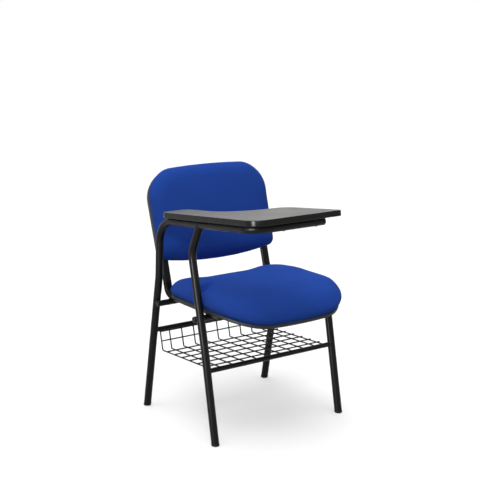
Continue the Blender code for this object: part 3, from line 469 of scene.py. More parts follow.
class Effects:
    """Shared surface effects, each a node group that is made once."""

    def __init__(self) -> None:
        """Make the groups."""
        self.grain = self._grain()
        self.weave = self._weave()
        self.handling = self._handling()

    @staticmethod
    def _group(name: str, inputs: dict[str, float], outputs: Sequence[str]
               ) -> tuple[NodeSheet, bpy.types.Node, bpy.types.Node]:
        """Make an empty group that takes a place on the surface and some values.

        Args:
            name: the group's name.
            inputs: name of each value input to its default.
            outputs: names of its value outputs.

        Returns:
            The node sheet, its input node and its output node.
        """
        tree = bpy.data.node_groups.new(name, "ShaderNodeTree")
        tree.interface.new_socket(name="Vector", in_out="INPUT", socket_type="NodeSocketVector")
        for label, value in inputs.items():
            socket = tree.interface.new_socket(name=label, in_out="INPUT", socket_type="NodeSocketFloat")
            socket.default_value = value
        for label in outputs:
            tree.interface.new_socket(name=label, in_out="OUTPUT", socket_type="NodeSocketFloat")
        sheet = NodeSheet(tree)
        return sheet, sheet.add("NodeGroupInput"), sheet.add("NodeGroupOutput")

    def _grain(self) -> bpy.types.NodeTree:
        """Make the fine pebble of paint and moulded plastic: cells softened by noise.

        Returns:
            The group.
        """
        sheet, given, out = self._group("fine_grain", {"Scale": 900.0}, ("Height", "Mottle"))
        place, scale = given.outputs["Vector"], given.outputs["Scale"]
        cells = sheet.add("ShaderNodeTexVoronoi", {"Vector": place, "Scale": scale}, feature="SMOOTH_F1")
        peel = sheet.noise(place, sheet.math("MULTIPLY", scale, 0.6), detail=3.0)
        pebble = sheet.math("MULTIPLY", cells.outputs["Distance"], 0.5)
        sheet.feed(out, {"Height": sheet.math("ADD", pebble, peel),
                         "Mottle": sheet.noise(place, scale=24.0, detail=4.0, rough=0.6)})
        return sheet.tree

    def _weave(self) -> bpy.types.NodeTree:
        """Make a plain weave: threads cross over and under each other, with uneven yarn.

        The height is the larger of two rows of half-round threads, each lifted and lowered by
        the wave of the threads that it crosses.

        Returns:
            The group.
        """
        sheet, given, out = self._group("plain_weave", {"Threads": 900.0, "Slub": 0.5},
                                        ("Height", "Yarn", "Pile"))
        place = given.outputs["Vector"]
        wander = sheet.add("ShaderNodeTexNoise", {"Vector": place, "Scale": 160.0, "Detail": 2.0})
        drift = sheet.vector("SUBTRACT", {0: wander.outputs["Color"], 1: (0.5, 0.5, 0.5)})
        drift = sheet.vector("SCALE", {0: drift, 3: 0.0012})
        axes = sheet.add("ShaderNodeSeparateXYZ", {0: sheet.vector("ADD", {0: place, 1: drift})})
        threads = [sheet.math("MULTIPLY", axes.outputs[k], given.outputs["Threads"]) for k in (0, 1)]
        waves = [sheet.math("SINE", sheet.math("MULTIPLY", t, math.pi)) for t in threads]
        crowns = [sheet.math("ABSOLUTE", w) for w in waves]
        over = sheet.math("MULTIPLY", waves[0], waves[1])
        warp = sheet.math("MULTIPLY_ADD", over, 0.5, crowns[0])
        weft = sheet.math("MULTIPLY_ADD", over, -0.5, crowns[1])
        fuzz = sheet.noise(place, scale=2600.0, detail=2.0, rough=0.7)
        height = sheet.math("MULTIPLY_ADD", fuzz, given.outputs["Slub"], sheet.math("MAXIMUM", warp, weft))
        uneven = sheet.noise(place, scale=420.0, detail=3.0, rough=0.6)
        sheet.feed(out, {"Height": height,
                         "Yarn": sheet.math("MULTIPLY_ADD", uneven, 0.6, sheet.math("MULTIPLY", height, 0.3)),
                         "Pile": sheet.noise(place, scale=9.0, detail=3.0, rough=0.55)})
        return sheet.tree

    def _handling(self) -> bpy.types.NodeTree:
        """Make the faint smears and scuffs of use: stretched noise with a few sharp streaks.

        Returns:
            The group.
        """
        sheet, given, out = self._group("handling_marks", {"Scale": 14.0}, ("Smear", "Scuff"))
        place, scale = given.outputs["Vector"], given.outputs["Scale"]
        streak = sheet.add("ShaderNodeMapping", {"Vector": place, "Scale": (3.0, 3.0, 0.6)}).outputs[0]
        fine = sheet.noise(streak, sheet.math("MULTIPLY", scale, 9.0), detail=4.0, rough=0.7)
        sheet.feed(out, {"Smear": sheet.noise(place, scale, detail=5.0, rough=0.6),
                         "Scuff": sheet.remap(fine, 0.66, 0.80)})
        return sheet.tree


@dataclass(frozen=True)
class Finish(ABC):
    """A surface finish.

    Attributes:
        name: the material's name.
        colour: its main colour, linear.
        rough: its mean roughness.
        vary: how far the roughness falls and rises over the surface.
    """

    name: str
    colour: tuple[float, float, float]
    rough: float
    vary: tuple[float, float] = (-0.05, 0.05)

    def material(self, effects: Effects) -> bpy.types.Material:
        """Make the material.

        Args:
            effects: the shared node groups.

        Returns:
            The finished material.
        """
        mat = bpy.data.materials.new(self.name)
        mat.use_nodes = True
        sheet = NodeSheet(mat.node_tree)
        sheet.feed(mat.node_tree.nodes["Principled BSDF"], self.dress(sheet, effects))
        return mat

    def shade(self, factor: float) -> tuple[float, float, float, float]:
        """Return the main colour made lighter or darker."""
        return (*(min(c * factor, 1.0) for c in self.colour), 1.0)

    def uneven(self, sheet: NodeSheet, mask: Any, low: float = 0.3, high: float = 0.7
               ) -> bpy.types.NodeSocket:
        """Return the roughness, which varies with a mask between two of its values."""
        return sheet.remap(mask, low, high, self.rough + self.vary[0], self.rough + self.vary[1])

    @abstractmethod
    def dress(self, sheet: NodeSheet, effects: Effects) -> dict[str, Any]:
        """Lay out the nodes.

        Args:
            sheet: the material's nodes.
            effects: the shared node groups.

        Returns:
            What each input of the shader gets.
        """


@dataclass(frozen=True)
class CoatedFinish(Finish):
    """Paint or moulded plastic: an even colour with a fine pebble and faint handling marks.

    Attributes:
        grain: pebbles per metre.
        depth: height of the pebble.
        scuff: how much lighter the scuffs are.
        metal: 1 for bare metal.
        gloss: specular level.
        marks: handling marks per metre.
        wear: how much the scuffs cover.
    """

    vary: tuple[float, float] = (-0.05, 0.06)
    grain: float = 900.0
    depth: float = 0.00003
    scuff: float = 2.0
    metal: float = 0.0
    gloss: float = 0.2
    marks: float = 11.0
    wear: float = 0.35

    def dress(self, sheet: NodeSheet, effects: Effects) -> dict[str, Any]:
        """Lay out colour, roughness and normal from the grain and the handling marks.

        Args:
            sheet: the material's nodes.
            effects: the shared node groups.

        Returns:
            What each input of the shader gets.
        """
        place = sheet.add("ShaderNodeTexCoord").outputs["Object"]
        grain = sheet.effect(effects.grain, Vector=place, Scale=self.grain)
        marks = sheet.effect(effects.handling, Vector=place, Scale=self.marks)
        tone = sheet.mix(grain.outputs["Mottle"], self.shade(0.86), self.shade(1.16))
        worn = sheet.math("MULTIPLY", marks.outputs["Scuff"], self.wear)
        return {"Base Color": sheet.mix(worn, tone, self.shade(self.scuff)),
                "Roughness": self.uneven(sheet, marks.outputs["Smear"]),
                "Normal": sheet.normal(grain.outputs["Height"], self.depth),
                "Metallic": self.metal, "Specular IOR Level": self.gloss}


@dataclass(frozen=True)
class ClothFinish(Finish):
    """Plain-woven upholstery cloth that follows the cushion's own cloth map.

    Attributes:
        threads: threads per metre.
        slub: how uneven the yarn is.
        relief: height of the weave.
    """

    vary: tuple[float, float] = (-0.06, 0.05)
    threads: float = 950.0
    slub: float = 0.35
    relief: float = 0.00022

    def dress(self, sheet: NodeSheet, effects: Effects) -> dict[str, Any]:
        """Lay out colour, roughness and normal from the weave.

        Args:
            sheet: the material's nodes.
            effects: the shared node groups.

        Returns:
            What each input of the shader gets.
        """
        place = sheet.add("ShaderNodeUVMap", uv_map=CLOTH_MAP).outputs["UV"]
        weave = sheet.effect(effects.weave, Vector=place, Threads=self.threads, Slub=self.slub)
        tone = sheet.remap(weave.outputs["Yarn"], 0.3, 1.0)
        yarn = sheet.mix(tone, self.shade(0.72), self.shade(1.22))
        pile = sheet.remap(weave.outputs["Pile"], 0.35, 0.65, to_high=0.30)
        return {"Base Color": sheet.mix(pile, yarn, self.shade(0.82)),
                "Roughness": self.uneven(sheet, weave.outputs["Yarn"], 0.3, 1.0),
                "Normal": sheet.normal(weave.outputs["Height"], self.relief),
                "Specular IOR Level": 0.06, "Sheen Weight": 0.04, "Sheen Roughness": 0.45,
                "Sheen Tint": (0.30, 0.48, 1.0, 1.0)}


@dataclass(frozen=True)
class LaminateFinish(Finish):
    """Satin grey laminate: a fine fleck in the print and a soft pebble in the surface.

    Attributes:
        grain: pebbles per metre.
        depth: height of the pebble.
        flecks: flecks per metre.
        marks: handling marks per metre.
        gloss: specular level.
    """

    vary: tuple[float, float] = (-0.04, 0.05)
    grain: float = 1300.0
    depth: float = 0.00002
    flecks: float = 1100.0
    marks: float = 9.0
    gloss: float = 0.22

    def dress(self, sheet: NodeSheet, effects: Effects) -> dict[str, Any]:
        """Lay out colour, roughness and normal from the fleck and the handling marks.

        Args:
            sheet: the material's nodes.
            effects: the shared node groups.

        Returns:
            What each input of the shader gets.
        """
        place = sheet.add("ShaderNodeTexCoord").outputs["Object"]
        grain = sheet.effect(effects.grain, Vector=place, Scale=self.grain)
        marks = sheet.effect(effects.handling, Vector=place, Scale=self.marks)
        fleck = sheet.remap(sheet.noise(place, self.flecks, detail=2.0, rough=0.7), 0.35, 0.65)
        tone = sheet.mix(fleck, self.shade(0.88), self.shade(1.12))
        cloud = sheet.remap(grain.outputs["Mottle"], 0.3, 0.7, to_high=0.35)
        return {"Base Color": sheet.mix(cloud, tone, self.shade(0.86)),
                "Roughness": self.uneven(sheet, marks.outputs["Smear"]),
                "Normal": sheet.normal(grain.outputs["Height"], self.depth),
                "Specular IOR Level": self.gloss}


@dataclass(frozen=True)
class PlywoodFinish(Finish):
    """Raw plywood: long grain along X with darker late wood.

    Attributes:
        stretch: how the grain's noise is scaled along each axis.
        depth: height of the grain.
        marks: handling marks per metre.
    """

    stretch: tuple[float, float, float] = (4.0, 60.0, 60.0)
    depth: float = 0.0002
    marks: float = 8.0

    def dress(self, sheet: NodeSheet, effects: Effects) -> dict[str, Any]:
        """Lay out colour, roughness and normal from stretched noise.

        Args:
            sheet: the material's nodes.
            effects: the shared node groups.

        Returns:
            What each input of the shader gets.
        """
        place = sheet.add("ShaderNodeTexCoord").outputs["Object"]
        along = sheet.add("ShaderNodeMapping", {"Vector": place, "Scale": self.stretch}).outputs[0]
        streak = sheet.noise(along, scale=3.0, detail=5.0, rough=0.6)
        marks = sheet.effect(effects.handling, Vector=place, Scale=self.marks)
        return {"Base Color": sheet.mix(sheet.remap(streak, 0.3, 0.7), self.shade(0.6), self.shade(1.2)),
                "Roughness": self.uneven(sheet, marks.outputs["Smear"]),
                "Normal": sheet.normal(streak, self.depth)}


def make_looks() -> Looks:
    """Make the finish of every slot.

    Returns:
        The materials, keyed by slot.
    """
    effects = Effects()
    finishes = {
        Slot.STEEL: CoatedFinish("black_paint", (0.0038, 0.0038, 0.0038), 0.34, grain=700.0, depth=0.00002,
                                 gloss=0.12),
        Slot.PLUG: CoatedFinish("black_plug", (0.006, 0.006, 0.006), 0.42, grain=1400.0, gloss=0.14),
        Slot.SHELL: CoatedFinish("black_shell", (0.010, 0.010, 0.010), 0.50, grain=1000.0, depth=0.00006,
                                 gloss=0.25),
        Slot.CLOTH: ClothFinish("blue_weave", (0.0130, 0.058, 0.335), 0.88),
        Slot.PLYWOOD: PlywoodFinish("raw_plywood", (0.50, 0.36, 0.22), 0.70),
        Slot.LAMINATE: LaminateFinish("grey_laminate", (0.108, 0.106, 0.101), 0.48),
        Slot.EDGE: CoatedFinish("black_edge", (0.004, 0.004, 0.004), 0.28, grain=1200.0, depth=0.00002,
                                scuff=3.0, gloss=0.14),
        Slot.ZINC: CoatedFinish("black_zinc", (0.050, 0.050, 0.052), 0.38, grain=1600.0, depth=0.00002,
                                scuff=1.8, metal=1.0),
    }
    return {slot: finish.material(effects) for slot, finish in finishes.items()}


# Steel frame


@dataclass
class TabletForm:
    """Sizes of the writing tablet and the tube under it."""

    thick: float = 0.018
    rise: float = 0.1058
    rear_y: float = 0.068
    rear_z: float = 0.7108
    length: float = 0.5335
    right_x: float = -0.2781
    arm_w: float = 0.102
    front_w: float = 0.319
    neck: float = 0.273
    taper: float = 0.0255
    cove_r: float = 0.14
    knee_r: float = 0.055
    front_right_r: float = 0.050
    front_left_r: float = 0.012
    rear_r: float = 0.030
    band: float = 0.0025
    band_round: float = 0.0022

    @property
    def tilt(self) -> float:
        """Angle of the top face."""
        return math.atan(self.rise)

    @property
    def origin(self) -> Array:
        """Rear end of the top face."""
        return vec(0, self.rear_y, self.rear_z)

    def under(self, x: float, y: float, drop: float) -> Array:
        """Return the point over a chair x and y in the plane that lies a distance below the top face."""
        c, s = math.cos(self.tilt), math.sin(self.tilt)
        return vec(x, y, self.rear_z - drop * c - self.rise * (y - self.rear_y + drop * s))


@dataclass
class SteelFrame:
    """The round and flat tubes that carry the chair, with their welds."""

    tube_d: float = 0.0254
    leg_x: float = 0.2515
    front_foot_y: float = -0.211
    rear_foot_y: float = 0.2235
    front_lean: float = 0.1924
    rear_lean: float = 0.2024
    front_knee_z: float = 0.30
    front_knee_r: float = 0.50
    elbow_y: float = -0.0810
    elbow_z: float = 0.602
    elbow_r: float = 0.08
    front_top_y: float = -0.131
    rear_knee_z: float = 0.487
    rear_knee_r: float = 0.15
    upright_lean: float = 0.06
    arm_rear_r: float = 0.09
    arm_corner_r: float = 0.06
    arm_front_y: float = -0.4232
    arm_end_x: float = -0.003
    saddle_r: float = 0.04
    cross_d: float = 0.020
    cross_z: float = 0.391
    cross_overhang: float = 0.010
    seat_tube_w: float = 0.030
    seat_tube_t: float = 0.015
    seat_tube_x: float = 0.2061
    seat_tube_z: float = 0.4088
    seat_tube_front_y: float = -0.180
    seat_tube_bend_r: float = 0.035
    back_foot_y: float = 0.1372
    recline: float = 0.2897
    upright: float = 0.285
    gap: float = 0.0003
    foot_h: float = 0.0065
    sides: int = 40
    bead: float = 0.0021
    seam_offset: float = 0.0048
    seam_sink: float = 0.0006
    seam_share: float = 0.6
    tablet: TabletForm = field(default_factory=TabletForm)

    @property
    def leg_r(self) -> float:
        """Radius of the leg tube."""
        return self.tube_d / 2

    @property
    def saddle_z(self) -> float:
        """Height of the left frame's top run."""
        return self.cross_z - self.cross_d / 2 - self.gap - self.leg_r

    def front_leg(self, z: float) -> float:
        """Return the front legs' axis y at a height below the knee."""
        return self.front_foot_y + self.front_lean * z

    def rear_leg(self, z: float) -> float:
        """Return the rear legs' axis y at a height below the knee."""
        return self.rear_foot_y - self.rear_lean * z

    def arm(self, x: float, y: float) -> Array:
        """Return the point of the arm tube's axis over a chair x and y."""
        return self.tablet.under(x, y, self.tablet.thick + self.gap + self.leg_r)

    @property
    def shin_slope(self) -> float:
        """Run per rise of the right front leg between its knee and its elbow."""
        return (self.elbow_y - self.front_leg(self.front_knee_z)) / (self.elbow_z - self.front_knee_z)

    @property
    def cross_places(self) -> tuple[float, float]:
        """y of the front and rear cross tubes, which lie against the legs.

        Returns:
            The two places.
        """
        reach = self.leg_r + self.cross_d / 2 + self.gap
        shin_y = self.front_leg(self.front_knee_z) + self.shin_slope * (self.cross_z - self.front_knee_z)
        front = shin_y + reach * math.hypot(1, self.shin_slope)
        return front, self.rear_leg(self.cross_z) - reach * math.hypot(1, self.rear_lean)

    def build(self, shop: Workshop) -> None:
        """Make the tubes and their welds.

        Args:
            shop: makes the pieces.
        """
        across = vec(1, 0, 0)
        round_tube = circle(self.leg_r, self.sides)
        right, left = -self.leg_x, self.leg_x
        foot = self.foot_h

        knee = vec(right, self.rear_leg(self.rear_knee_z), self.rear_knee_z)
        rear_top_y = knee[1] - self.upright_lean * (self.arm(right, knee[1])[2] - self.rear_knee_z)
        arm = tube_skin([(vec(right, self.rear_leg(foot), foot), 0), (knee, self.rear_knee_r),
                         (self.arm(right, rear_top_y), self.arm_rear_r),
                         (self.arm(right, self.arm_front_y), self.arm_corner_r),
                         (self.arm(self.arm_end_x, self.arm_front_y), 0)], round_tube, across)
        shop.piece("arm_frame", arm, Slot.STEEL, ["arm_frame_tube"])

        shin = vec(right, self.front_leg(self.front_knee_z), self.front_knee_z)
        elbow = vec(right, self.elbow_y, self.elbow_z)
        leg = tube_skin([(vec(right, self.front_leg(foot), foot), 0), (shin, self.front_knee_r),
                         (elbow, self.elbow_r), (self.arm(right, self.front_top_y), 0)], round_tube, across)
        shop.piece("right_front_leg", leg, Slot.STEEL, ["front_right_leg"])

        z = self.saddle_z
        legs = tube_skin([(vec(left, self.front_leg(foot), foot), 0),
                          (vec(left, self.front_leg(z), z), self.saddle_r),
                          (vec(left, self.rear_leg(z), z), self.saddle_r),
                          (vec(left, self.rear_leg(foot), foot), 0)], round_tube, across)
        shop.piece("left_legs", legs, Slot.STEEL, ["left_leg_frame"])

        thin = circle(self.cross_d / 2, self.sides)
        reach = self.leg_x + self.cross_overhang
        for name, y in zip(("front_cross", "rear_cross"), self.cross_places):
            ends = [(vec(side * reach, y, self.cross_z), 0) for side in (-1, 1)]
            rail = tube_skin(ends, thin, vec(0, 1, 0))
            shop.piece(f"{name}_rail", rail, Slot.STEEL, [f"{name}_tube"])

        flat = oval(self.seat_tube_w, self.seat_tube_t)
        up = unit(vec(0, self.recline, 1))
        for name, x in (("right", -self.seat_tube_x), ("left", self.seat_tube_x)):
            corner = vec(x, self.back_foot_y, self.seat_tube_z)
            rail = tube_skin([(vec(x, self.seat_tube_front_y, self.seat_tube_z), 0),
                              (corner, self.seat_tube_bend_r), (corner + up * self.upright, 0)], flat, across)
            shop.piece(f"{name}_seat_rail", rail, Slot.STEEL, [f"{name}_seat_tube"])
        shop.piece("frame_welds", Skin.join(self._welds()), Slot.STEEL)

    def _welds(self) -> list[Skin]:
        """Return the beads where tubes meet.

        Returns:
            Closed beads.
        """
        right = -self.leg_x
        top, elbow = self.arm(right, self.front_top_y), vec(right, self.elbow_y, self.elbow_z)
        arm = self.arm(right, 0.0)
        beads = [cope_bead(top, unit(top - elbow), self.leg_r, arm,
                           unit(arm - self.arm(right, self.arm_front_y)), self.leg_r, self.bead)]
        seam_z = self.seat_tube_z - self.seat_tube_t / 2 - self.seam_sink
        half_seam = vec(self.seat_tube_w * self.seam_share / 2, 0, 0)
        legs = (unit(vec(0, self.shin_slope, 1)), unit(vec(0, -self.rear_lean, 1)))
        for y, way in zip(self.cross_places, legs):
            toward = -1 if way[1] > 0 else 1
            axis = vec(0, y, self.cross_z)
            square = unit(vec(0, toward, -toward * way[1] / way[2]))
            sides = (right, self.leg_x) if toward > 0 else (right,)
            for x in sides:
                beads.append(touch_bead(axis + vec(x, 0, 0) + square * self.cross_d / 2, square, vec(1, 0, 0),
                                        self.cross_d / 2, way, self.leg_r, self.bead))
            beads.append(touch_bead(axis + vec(self.leg_x, 0, -self.cross_d / 2), vec(0, 0, -1), vec(1, 0, 0),
                                    self.cross_d / 2, vec(0, 1, 0), self.leg_r, self.bead))
            for x in (-self.seat_tube_x, self.seat_tube_x):
                for side in (-1, 1):
                    middle = vec(x, y + side * self.seam_offset, seam_z)
                    beads.append(line_bead(middle - half_seam, middle + half_seam, self.bead))
        return beads


def cope_bead(point: Array, way: Array, radius: float, axis_point: Array, axis: Array, axis_radius: float,
              bead: float, count: int = 96) -> Skin:
    """Return the weld round a tube that runs into the side of another.

    The bead's line is where the first tube's surface meets the second's: each line of the first
    tube is slid along it until its distance from the second tube's axis is that tube's radius.
    The bead is a circle carried round that line, rippled along it.

    Args:
        point: a point on the first tube's axis.
        way: the first tube's direction, towards the second.
        radius: the first tube's radius.
        axis_point: a point on the second tube's axis.
        axis: the second tube's direction.
        axis_radius: the second tube's radius.
        bead: the bead's radius.
        count: points on its line.

    Returns:
        The closed bead.
    """
    side = unit(np.cross(way, axis))
    up = np.cross(side, way)
    a = np.linspace(0.0, 2.0 * math.pi, count, endpoint=False)[:, None]
    outward = np.cos(a) * side + np.sin(a) * up
    start = point + radius * outward - axis_point
    start = start - (start @ axis)[:, None] * axis
    run = way - axis * (way @ axis)
    b, c = start @ run, (start * start).sum(-1) - axis_radius ** 2
    slide = (-b - np.sqrt(np.maximum(b * b - (run @ run) * c, 0.0))) / (run @ run)
    line = point + radius * outward + slide[:, None] * way
    from_axis = line - axis_point
    from_axis = unit(from_axis - (from_axis @ axis)[:, None] * axis)
    lift = unit(outward + from_axis)
    return rings_skin(rippled_rings(line, lift, bead), loop=True)


def rippled_rings(line: Array, lift: Array, bead: float) -> Array:
    """Return a closed bead's rings: circles square to a closed line, with small even ripples along it.

    Args:
        line: points on the line.
        lift: about which way the bead stands out at each point.
        bead: its radius.

    Returns:
        Rings as (point, place on the ring, 3).
    """
    along = unit(np.roll(line, -1, 0) - np.roll(line, 1, 0))
    lift = unit(lift - along * (lift * along).sum(-1, keepdims=True))
    other = np.cross(along, lift)
    ripple = 1.0 + BEAD_RIPPLE * np.cos(np.arange(len(line)) * 2.0 * math.pi / BEAD_WAVE)
    ring = circle(bead, BEAD_SIDES)
    section = ring[None, :, :1] * lift[:, None] + ring[None, :, 1:] * other[:, None]
    return line[:, None] + ripple[:, None, None] * section


def touch_bead(contact: Array, normal: Array, way_a: Array, radius_a: float, way_b: Array, radius_b: float,
               bead: float, spread: float = 0.0068, count: int = 60) -> Skin:
    """Return the weld round the spot where two crossing tubes touch.

    The bead follows a loop round the spot, halfway between the two surfaces, which fall away from
    the common tangent plane as r - sqrt(r^2 - distance^2).

    Args:
        contact: the spot.
        normal: from the first tube to the second.
        way_a: the first tube's direction.
        radius_a: its radius.
        way_b: the second tube's direction.
        radius_b: its radius.
        bead: the bead's radius.
        spread: the loop's radius.
        count: points on its line.

    Returns:
        The closed bead.
    """
    e1 = unit(way_a - normal * (way_a @ normal))
    e2 = np.cross(normal, e1)
    a = np.linspace(0.0, 2.0 * math.pi, count, endpoint=False)[:, None]
    spoke = spread * (np.cos(a) * e1 + np.sin(a) * e2)
    way_b = unit(way_b - normal * (way_b @ normal))
    off_a = np.linalg.norm(np.cross(spoke, e1), axis=-1)
    off_b = np.linalg.norm(np.cross(spoke, way_b), axis=-1)
    fall = (radius_b - np.sqrt(radius_b ** 2 - off_b ** 2)) - (radius_a - np.sqrt(radius_a ** 2 - off_a ** 2))
    line = contact + spoke + (fall / 2)[:, None] * normal
    return rings_skin(rippled_rings(line, np.broadcast_to(normal, line.shape), bead), loop=True)


def line_bead(start: Array, end: Array, bead: float, count: int = 28, tip: float = 0.995) -> Skin:
    """Return a short straight weld: a rippled rod whose radius falls as a blunt ellipse to its ends.

    Args:
        start: one end.
        end: the other end.
        bead: the bead's radius.
        count: rings along it.
        tip: share of the half length at which it is cut off.

    Returns:
        The closed bead.
    """
    t = np.linspace(-tip, tip, count)
    ripple = 1 + BEAD_RIPPLE * np.cos(np.arange(count) * math.pi * 0.5)
    radius = bead * np.sqrt(1 - t * t) ** 0.6 * ripple
    spots = start + (t[:, None] + 1) / 2 * (end - start)
    ring = circle(1.0, BEAD_SIDES)
    way = unit(end - start)
    side = unit(np.cross(way, vec(0, 0, 1)))
    up = np.cross(way, side)
    section = ring[None, :, :1] * side + ring[None, :, 1:] * up
    return rings_skin(spots[:, None] + radius[:, None, None] * section)


@dataclass
class TubeEnds:
    """Glides in the feet and plug caps in the open tube ends."""

    steel: SteelFrame
    glide_h: float = 0.008
    lip: float = 0.0006
    tread_r: float = 0.0038
    tread_share: float = 0.55
    shoulder_r: float = 0.0008
    neck: float = 0.004
    cap_t: float = 0.003
    cap_r: float = 0.0022
    cap_inset: float = 0.0012
    cap_sink: float = 0.004

    def build(self, shop: Workshop) -> None:
        """Make the glides and caps.

        Args:
            shop: makes the pieces.
        """
        s = self.steel
        hands = (("right", -1), ("left", 1))
        for row, y, lean in (("front", s.front_foot_y, s.front_lean), ("rear", s.rear_foot_y, -s.rear_lean)):
            for hand, side in hands:
                foot = self._glide(side * s.leg_x, y, lean)
                shop.piece(f"{row}_{hand}_foot", foot, Slot.PLUG, [f"{row}_{hand}_glide"])
        reach = s.leg_x + s.cross_overhang
        thin, flat = circle(s.cross_d / 2, s.sides), oval(s.seat_tube_w, s.seat_tube_t)
        ends = [(f"{rail}_tube_{hand}_cap", vec(side * reach, y, s.cross_z), vec(side, 0, 0), thin)
                for rail, y in zip(("front_cross", "rear_cross"), s.cross_places) for hand, side in hands]
        ends += [(f"{hand}_seat_tube_cap", vec(side * s.seat_tube_x, s.seat_tube_front_y, s.seat_tube_z),
                  vec(0, -1, 0), flat) for hand, side in hands]
        arm_end = s.arm(s.arm_end_x, s.arm_front_y)
        ends.append(("arm_tube_cap", arm_end, vec(1, 0, 0), circle(s.leg_r, s.sides)))
        for node, spot, way, outline in ends:
            name = node.replace("_tube", "").replace("_cap", "_plug")
            shop.piece(name, self._cap(spot, way, outline), Slot.PLUG, [node])

    def _glide(self, x: float, foot_y: float, lean: float) -> Skin:
        """Return a foot: level ellipses along the leaning leg, with a rounded tread and a small shoulder.

        Args:
            x: the leg's x.
            foot_y: the leg axis's y on the floor.
            lean: its run per rise.

        Returns:
            The closed foot.
        """
        sides = self.steel.sides
        r, low, high = self.steel.leg_r + self.lip, self.tread_r, self.shoulder_r
        a = np.linspace(0.0, 0.5 * math.pi, 7)
        tread = np.stack((r - low + low * np.sin(a), low * (1 - np.cos(a))), -1)
        shoulder = np.stack((r - high + high * np.cos(a), self.glide_h - high + high * np.sin(a)), -1)
        flat, neck = (r * self.tread_share, 0.0), (r - self.neck, self.glide_h)
        profile = np.concatenate(([flat], tread, shoulder, [neck]))
        ring = circle(1.0, sides) * (1.0, math.hypot(1.0, lean))
        rings = np.empty((len(profile), sides, 3))
        rings[..., 0] = x + profile[:, :1] * ring[:, 0]
        rings[..., 1] = foot_y + lean * profile[:, 1:] + profile[:, :1] * ring[:, 1]
        rings[..., 2] = profile[:, 1:]
        return rings_skin(rings)

    def _cap(self, spot: Array, way: Array, outline: Array) -> Skin:
        """Return a plug's button: the tube's section with a quarter-round rim, closed over the end.

        Args:
            spot: centre of the tube's end.
            way: outward direction.
            outline: the tube's outer section.

        Returns:
            The closed button.
        """
        half = np.abs(outline).max(0)
        a = np.linspace(0.0, 0.5 * math.pi, 8)
        r = self.cap_r
        inset = np.concatenate(([self.cap_inset, 0.0], r * (1 - np.cos(a))))
        height = np.concatenate(([-self.cap_sink, self.steel.gap], self.cap_t - r + r * np.sin(a)))
        section = outline[None] * (1 - inset[:, None, None] / half)
        across = vec(1, 0, 0) if abs(way[1]) > 0.5 else vec(0, 1, 0)
        up = np.cross(way, across)
        rings = spot + height[:, None, None] * way + section[..., :1] * across + section[..., 1:] * up
        return rings_skin(rings)


@dataclass
class BookBasket:
    """The wire basket and its two bars."""

    steel: SteelFrame
    bar_d: float = 0.016
    front_z: float = 0.234
    rear_z: float = 0.287
    wire_d: float = 0.0046
    pitch: float = 0.048
    weld: float = 0.0012
    side_gap: float = 0.0113
    depth: float = 0.0725
    corner_r: float = 0.007
    inner_corner_r: float = 0.004
    wall_lean: float = 0.0145
    overhang: float = 0.7
    bar_sink: float = 0.45
    bead: float = 0.0017
    bar_sides: int = 32
    wire_sides: int = 12

    def build(self, shop: Workshop) -> None:
        """Make the bars, the wires and their welds.

        Args:
            shop: makes the pieces.
        """
        s = self.steel
        beads = []
        bars = (("basket_front", s.front_leg(self.front_z), self.front_z, s.front_lean),
                ("basket_rear", s.rear_leg(self.rear_z), self.rear_z, -s.rear_lean))
        for name, y, z, lean in bars:
            centre = vec(0, y, z)
            inside = s.leg_x - s.leg_r / 2
            ends = [(centre + vec(side * inside, 0, 0), 0) for side in (-1, 1)]
            bar = tube_skin(ends, circle(self.bar_d / 2, self.bar_sides), vec(0, 1, 0))
            shop.piece(f"{name}_rail", bar, Slot.STEEL, [f"{name}_bar"])
            for side in (-1, 1):
                beads.append(cope_bead(centre, vec(side, 0, 0), self.bar_d / 2, vec(side * s.leg_x, y, z),
                                       unit(vec(0, lean, 1)), s.leg_r, self.bead))
        shop.piece("basket_welds", Skin.join(beads), Slot.STEEL)
        shop.piece("basket_wires", Skin.join(self._wires()), Slot.STEEL, ["book_basket"], sharp=60.0)

    def _wires(self) -> list[Skin]:
        """Return the bent wires from front to back and the long wires across them inside.

        Returns:
            Closed wires.
        """
        s = self.steel
        ring = circle(self.wire_d / 2, self.wire_sides)
        edge = s.leg_x - s.leg_r - self.side_gap
        rear_y = s.rear_leg(self.rear_z)
        bar = vec(0, s.front_leg(self.front_z), self.front_z)
        corner = vec(0, rear_y - self.wall_lean, self.rear_z - self.depth)
        front = bar + unit(corner - bar) * self.bar_d * self.bar_sink
        top = vec(0, rear_y, self.rear_z - self.bar_d / 2 - self.wire_d / 2)
        run, climb = unit(corner - front), unit(top - corner)
        above, before = vec(0, -run[2], run[1]), vec(0, -climb[2], climb[1])
        step = self.wire_d - self.weld

        wires = []
        for x in (-edge, *self._places(-edge, edge), edge):
            across = vec(x, 0, 0)
            bend = self.corner_r if abs(x) == edge else self.inner_corner_r
            path = [(front + across, 0), (corner + across, bend), (top + across, 0)]
            wires.append(tube_skin(path, ring, vec(1, 0, 0)))
        depth = float(np.linalg.norm(corner - bar)) - self.bar_d / 2 - self.corner_r - self.wire_d
        start = bar + run * self.bar_d / 2
        spots = [start + run * d + above * step for d in self._places(self.wire_d, depth)]
        spots.append((corner + top) / 2 + before * step)
        long_wires = [(spot, self.wire_d * self.overhang) for spot in spots] + [(top, self.wire_d / 2)]
        for spot, past in long_wires:
            ends = [(spot + vec(side * (edge + past), 0, 0), 0) for side in (-1, 1)]
            wires.append(tube_skin(ends, ring, vec(0, 1, 0)))
        return wires

    def _places(self, low: float, high: float) -> list[float]:
        """Return places at the pitch, centred between two ends."""
        count = int((high - low - self.pitch / 2) / self.pitch) + 1
        return [(low + high) / 2 + self.pitch * (k - (count - 1) / 2) for k in range(count)]


# Seat and backrest


